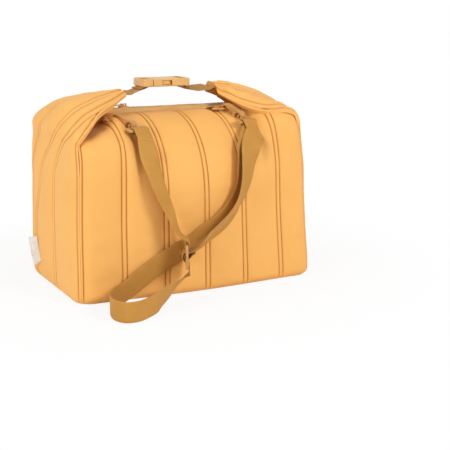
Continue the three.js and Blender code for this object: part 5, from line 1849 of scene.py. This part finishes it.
for side, sign, shift in (("front", -1, 0.0), ("back", 1, TOOTH_PITCH / 2)):
    marks = np.arange(CHAIN_START + 0.7 + shift, CHAIN_END - 0.6, TOOTH_PITCH)
    teeth = copies(f"teeth_{side}", tooth_tree,
                   [((x, sign * TOOTH_ASIDE, CHAIN_HEIGHT), (1, 0, 0), (0, 0, 1))
                    for x in marks],
                   TOOTH_SIZE, hard_plastic)
    soften = teeth.modifiers.new("soften", "BEVEL")
    soften.width = TOOTH_ROUND
    soften.segments = 2
    teeth.data.shade_smooth()
    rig.ride(teeth, "bag")
    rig.replaces(teeth, f"zip_teeth_{side}")
    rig.slot(teeth, "plastic")
    print(side, "teeth:", len(marks))

# %% [markdown]
# The thread follows the two grooves beside every seam. Each line of stitches is read off
# the quilted faces themselves, so it stays in its groove over the shoulder and round the
# ear. A stitch is a short capsule, slightly longer than the hole it disappears into.

# %% Stitches
THREAD_RISE = 0.12
AIM_REACH = 0.6
FRONT_ROWS = slice(3, -5)
SIDE_ROWS = slice(4, None)


def marks_along(line, normals):
    """(point, direction, normal) of every stitch along a line."""
    reach = reach_along(line)

    def at(values, where):
        return np.stack([np.interp(where, reach, values[:, k]) for k in range(3)], axis=-1)

    where = np.arange(STITCH_PITCH / 2, reach[-1], STITCH_PITCH)
    ahead = at(line, where + AIM_REACH) - at(line, where - AIM_REACH)
    normal = at(normals, where)
    return list(zip(at(line, where) + normal * THREAD_RISE, ahead, normal))


def crossing(row, q, place):
    """The point of one row of a grid where the measure q has a value."""
    return np.array([np.interp(place, q, row[:, k]) for k in range(3)])


def front_lines(outer, sign):
    """Stitches of a long wall; sign is 1 for the front and -1 for the back."""
    normal = grid_normals(outer) * sign
    found = []
    for seam in FRONT_SEAMS:
        for offset in (-BAND_HALF, BAND_HALF):
            if abs(seam + offset) < FRONT_END:
                line, facing = (np.array([crossing(row, front_q, seam + offset)
                                          for row in grid[FRONT_ROWS]])
                                for grid in (outer, normal))
                found += marks_along(line, facing)
    return found


def side_lines(outer, lines, sign):
    """Stitches of a side wall and its ear; sign is 1 for the left and -1 for the right."""
    normal = -grid_normals(outer) * sign
    found = []
    for number in range(len(lines[0][0])):
        for direction in (-1, 1):
            line, facing = [], []
            for row, faces, (seams, q, reach) in list(zip(outer, normal, lines))[SIDE_ROWS]:
                place = seams[number] + direction * reach
                if q[0] < place < q[-1]:
                    line.append(crossing(row, q, place))
                    facing.append(crossing(faces, q, place))
            if line:
                found += marks_along(np.array(line), np.array(facing))
    return found


thread = cloth("thread", (226, 164, 84), (214, 150, 74), 0.55)
marks = {"front": front_lines(front_outer, 1), "back": front_lines(back_outer, -1),
         "left": side_lines(*side_grids["left"], 1), "right": side_lines(*side_grids["right"], -1)}
for side, places in marks.items():
    stitches = copies(f"stitches_{side}", stitch_tree, places, STITCH_SIZE, thread)
    stitches.data.shade_smooth()
    if side in side_grids:
        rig.blend(stitches, "bag", f"{side}_ear", **fold_span(side))
        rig.slot(stitches, "side_cloth")
    else:
        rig.ride(stitches, "bag")
        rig.slot(stitches, "panel_cloth")
    print(stitches.name, len(stitches.data.polygons), "faces")

# %% [markdown]
# Two rings stand on short webbing tabs beside the zip, and the hooks of the strap hang
# from them. A ring is a closed wire: a spline through its places, with circles set
# square to it. Bending a straight tube would do as well, but then its ends must meet.

# %% Rings and tabs
RING_LENGTH = 12.0
RING_WIRE = 1.5
WIRE_SIDES = 16
WIRE_STEPS = 96
RING_HALF = 12.75
TAB_WIDTH = 24.0
TAB_TAIL = 16.0
TAB_FOLD_RADIUS = 2.6
TAB_PITCHES = {"left": 31.0, "right": 4.0}


def ring_path():
    """The closed wire of a ring, flat, in millimetres."""
    half = RING_HALF
    right = [(0, 0), (4, 0.4), (8, 1.7), (half - 0.6, 4.9), (half + 1.4, 8.6),
             (half + 1.3, RING_LENGTH - 1.2), (half - 0.2, RING_LENGTH), (half / 2, RING_LENGTH)]
    left = [(-x, y) for x, y in right[:0:-1]]
    stops = [(x, y, 0) for x, y in [*right, (0, RING_LENGTH), *left]]
    lead = 2
    wrapped = np.array(stops[-lead:] + stops + stops[:lead + 1], float)
    steps = np.linspace(0, len(stops), WIRE_STEPS, endpoint=False)
    marks = (lead + steps) / (len(wrapped) - 1)
    return np.array([spline(wrapped, t) for t in marks])


def closed_wire(name, path, radius, wire_frame, material):
    """A smooth wire along a closed flat path in a frame of its own."""
    across, back, up, origin = wire_frame
    ahead = unit(np.roll(path, -1, axis=0) - np.roll(path, 1, axis=0))
    out = np.stack([ahead[:, 1], -ahead[:, 0], np.zeros(len(path))], axis=-1)
    turn = np.linspace(0, 2 * np.pi, WIRE_SIDES, endpoint=False)
    rings = (path[:, None, :] + out[:, None, :] * (radius * np.cos(turn))[None, :, None]
             + np.array([0, 0, radius]) * np.sin(turn)[None, :, None])
    points = (origin + rings[..., :1] * across + rings[..., 1:2] * back + rings[..., 2:] * up)
    numbers = np.arange(len(path) * WIRE_SIDES).reshape(len(path), WIRE_SIDES)
    faces = quads_of(closed_round(closed_round(numbers, 0), 1))
    return make_piece(name, points.reshape(-1, 3), faces, material)


for side in HOOKS:
    level_frame = hook_frame(side, pitch=0)
    ring = closed_wire(f"ring_{side}", ring_path(), RING_WIRE, level_frame, hook_plastic)
    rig.ride(ring, f"{side}_ring")
    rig.replaces(ring, f"{side}_d_ring")
    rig.slot(ring, "plastic")
    bar = level_frame[3] + level_frame[1] * RING_LENGTH
    tab_across, tab_away, tab_up, _ = pitched_frame(bar, -level_frame[1], -TAB_PITCHES[side])
    stops = fold_round(bar, tab_away, tab_up, tab_across, TAB_FOLD_RADIUS, TAB_TAIL)
    tab_frames = ribbon_frames(stops, 1.2)
    tab = ribbon_piece(f"tab_{side}", tab_frames, TAB_WIDTH, strap_webbing)
    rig.sheet(tab, flat=(TAB_WIDTH * MM, length_of(tab_frames[0]) * MM), held="folded",
             rests_on=[f"ring_{side}"])
    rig.ride(tab, "bag")
    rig.replaces(tab, f"{side}_ring_tab")
    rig.slot(tab, "webbing")
print("rings and tabs:", len(HOOKS), "each")

# %% [markdown]
# The moulded parts keep the shapes of the CAD solids. Their edges are too sharp, though:
# a moulded edge is always rounded a little, and that narrow round is what catches the
# light. A Weld modifier joins the solid's split faces, and a Bevel rounds the edges.

# %% Moulded parts
EDGE_ROUND = 0.0005
EDGE_ANGLE = 32
JOIN_DISTANCE = 0.00001
MOULDED = [f"{side}_{part}" for side in HOOKS for part in ("hook_body", "hook_gate", "strap_loop")]
MOULDED += ["buckle_plug", "buckle_socket", "buckle_latch_front", "buckle_latch_back"]
MOULDED += ["strap_adjuster", "zip_slider", "zip_pull"]
HOOK_PARTS = ("hook_body", "hook_gate", "strap_loop", "strap_adjuster")
DARKER = ("buckle_latch_front", "buckle_latch_back", "zip_pull")

for node in MOULDED:
    solid = frame["nodes"][node]
    finish = latch_plastic if node in DARKER else hard_plastic
    if node.endswith(HOOK_PARTS):
        finish = hook_plastic
    if solid.material_slots:
        solid.material_slots[0].link = "OBJECT"
        solid.material_slots[0].material = finish
    weld = solid.modifiers.new("join_faces", "WELD")
    weld.merge_threshold = JOIN_DISTANCE
    rounded = solid.modifiers.new("round_edges", "BEVEL")
    rounded.width = EDGE_ROUND
    rounded.segments = 2
    rounded.limit_method = "ANGLE"
    rounded.angle_limit = math.radians(EDGE_ANGLE)
    rounded.harden_normals = True
print("moulded parts:", len(MOULDED))

# %% [markdown]
# A small white ribbon tag is sewn into the last seam of the left end by one edge, and it
# stands out from the cloth. It is bare. A real ribbon curls a little away from its
# stitches, so its middle bows, and the far corners turn back.

# %% Side tag
TAG_THICKNESS = 0.5
TAG_REACH = 11.5
TAG_CURL = 1.1
TAG_TOP = (0.69, 55.0)
TAG_FOOT = (0.48, 26.0)
TAG_LIFT = 1.6
TAG_OUT_TOP = np.array([-0.93, 0.35, -0.12])
TAG_OUT_FOOT = np.array([-0.87, 0, -0.49])
TAG_FACE = unit((0.35, 0.93, 0))
TAG_SEWN = 0.04
TAG_ROWS, TAG_COLUMNS = 15, 9


def side_tag():
    """The tag's two faces, as grids from its sewn edge outwards."""
    rows = []
    for down in np.linspace(0, 1, TAG_ROWS):
        w = TAG_TOP[0] + (TAG_FOOT[0] - TAG_TOP[0]) * down
        height = TAG_TOP[1] + (TAG_FOOT[1] - TAG_TOP[1]) * down
        seam = side_surface(w, height) + np.array([-TAG_LIFT, 0, 0])
        reach = unit(TAG_OUT_TOP * (1 - down) + TAG_OUT_FOOT * down)
        row = []
        for share in np.linspace(TAG_SEWN, 1, TAG_COLUMNS):
            curl = TAG_CURL * (share**2 - 0.5 * share) * (0.4 + 0.6 * math.cos(math.pi * down) ** 2)
            row.append(seam + reach * share * TAG_REACH + TAG_FACE * curl)
        rows.append(row)
    middle = np.array(rows)
    offset = grid_normals(middle) * TAG_THICKNESS / 2
    return middle + offset, middle - offset


tag_front, tag_back = side_tag()
tag = slab("tag", tag_front, tag_back, tag_finish)
tag_length = length_of((tag_front + tag_back)[:, TAG_COLUMNS // 2] / 2)
tag_width = TAG_REACH * (1 - TAG_SEWN)
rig.sheet(tag, flat=(tag_width * MM, tag_length * MM), held="hung", rests_on=["quilt_left"])
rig.ride(tag, "bag")
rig.replaces(tag, "side_tag")
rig.slot(tag, "tag_cloth")
print("tag: %.0f mm long" % tag_length)

# %% [markdown]
# The strap's upper end is sewn to itself with a row of thread across its width. The row
# is seen just below the left hook, so it is worth its few stitches. It bends with the
# same two bodies as the strap that it holds.

# %% Row of stitches on the strap
ROW_REACH = 18.0
ROW_EDGE = 2.0
ROW_PITCH = 3.0
ROW_LIFT = 0.3
ROW_SIZE = (1.9, 1.2, 0.9)


def row_across(frames, distance):
    """Stitches across a strap at a distance along its frames after the fold's top."""
    middle, across, normal = frames
    top = int(np.argmax(middle[:, 2]))
    reach = reach_along(middle)
    place = int(np.argmin(np.abs(reach - reach[top] - distance)))
    side = towards(normal[place], (0, -1, 0))
    offsets = np.arange(ROW_EDGE - STRAP_WIDTH / 2, STRAP_WIDTH / 2 - ROW_EDGE + 0.1, ROW_PITCH)
    lifted = middle[place] + side * (WEB_THICKNESS / 2 + ROW_LIFT)
    return [(lifted + across[place] * offset, across[place], side) for offset in offsets]


strap_thread = cloth("strap_thread", (232, 186, 116), (222, 172, 98), 0.5)
row_places = row_across(strap_frames[0], ROW_REACH)
row = copies("strap_row_left", stitch_tree, row_places, ROW_SIZE, strap_thread)
row.data.shade_smooth()
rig.blend(row, "bag", "left_ring", **bend_below("left"))
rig.slot(row, "webbing")
print("strap row made")

# %% Sizes
shown_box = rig.bounds()
sizes = {"cad": [[float(v) for v in corner] for corner in cad_box],
         "shown": [[float(v) for v in corner] for corner in shown_box]}
with open("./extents.json", "w") as file:
    json.dump(sizes, file)
print("shown box:", [[round(v, 3) for v in corner] for corner in sizes["shown"]])
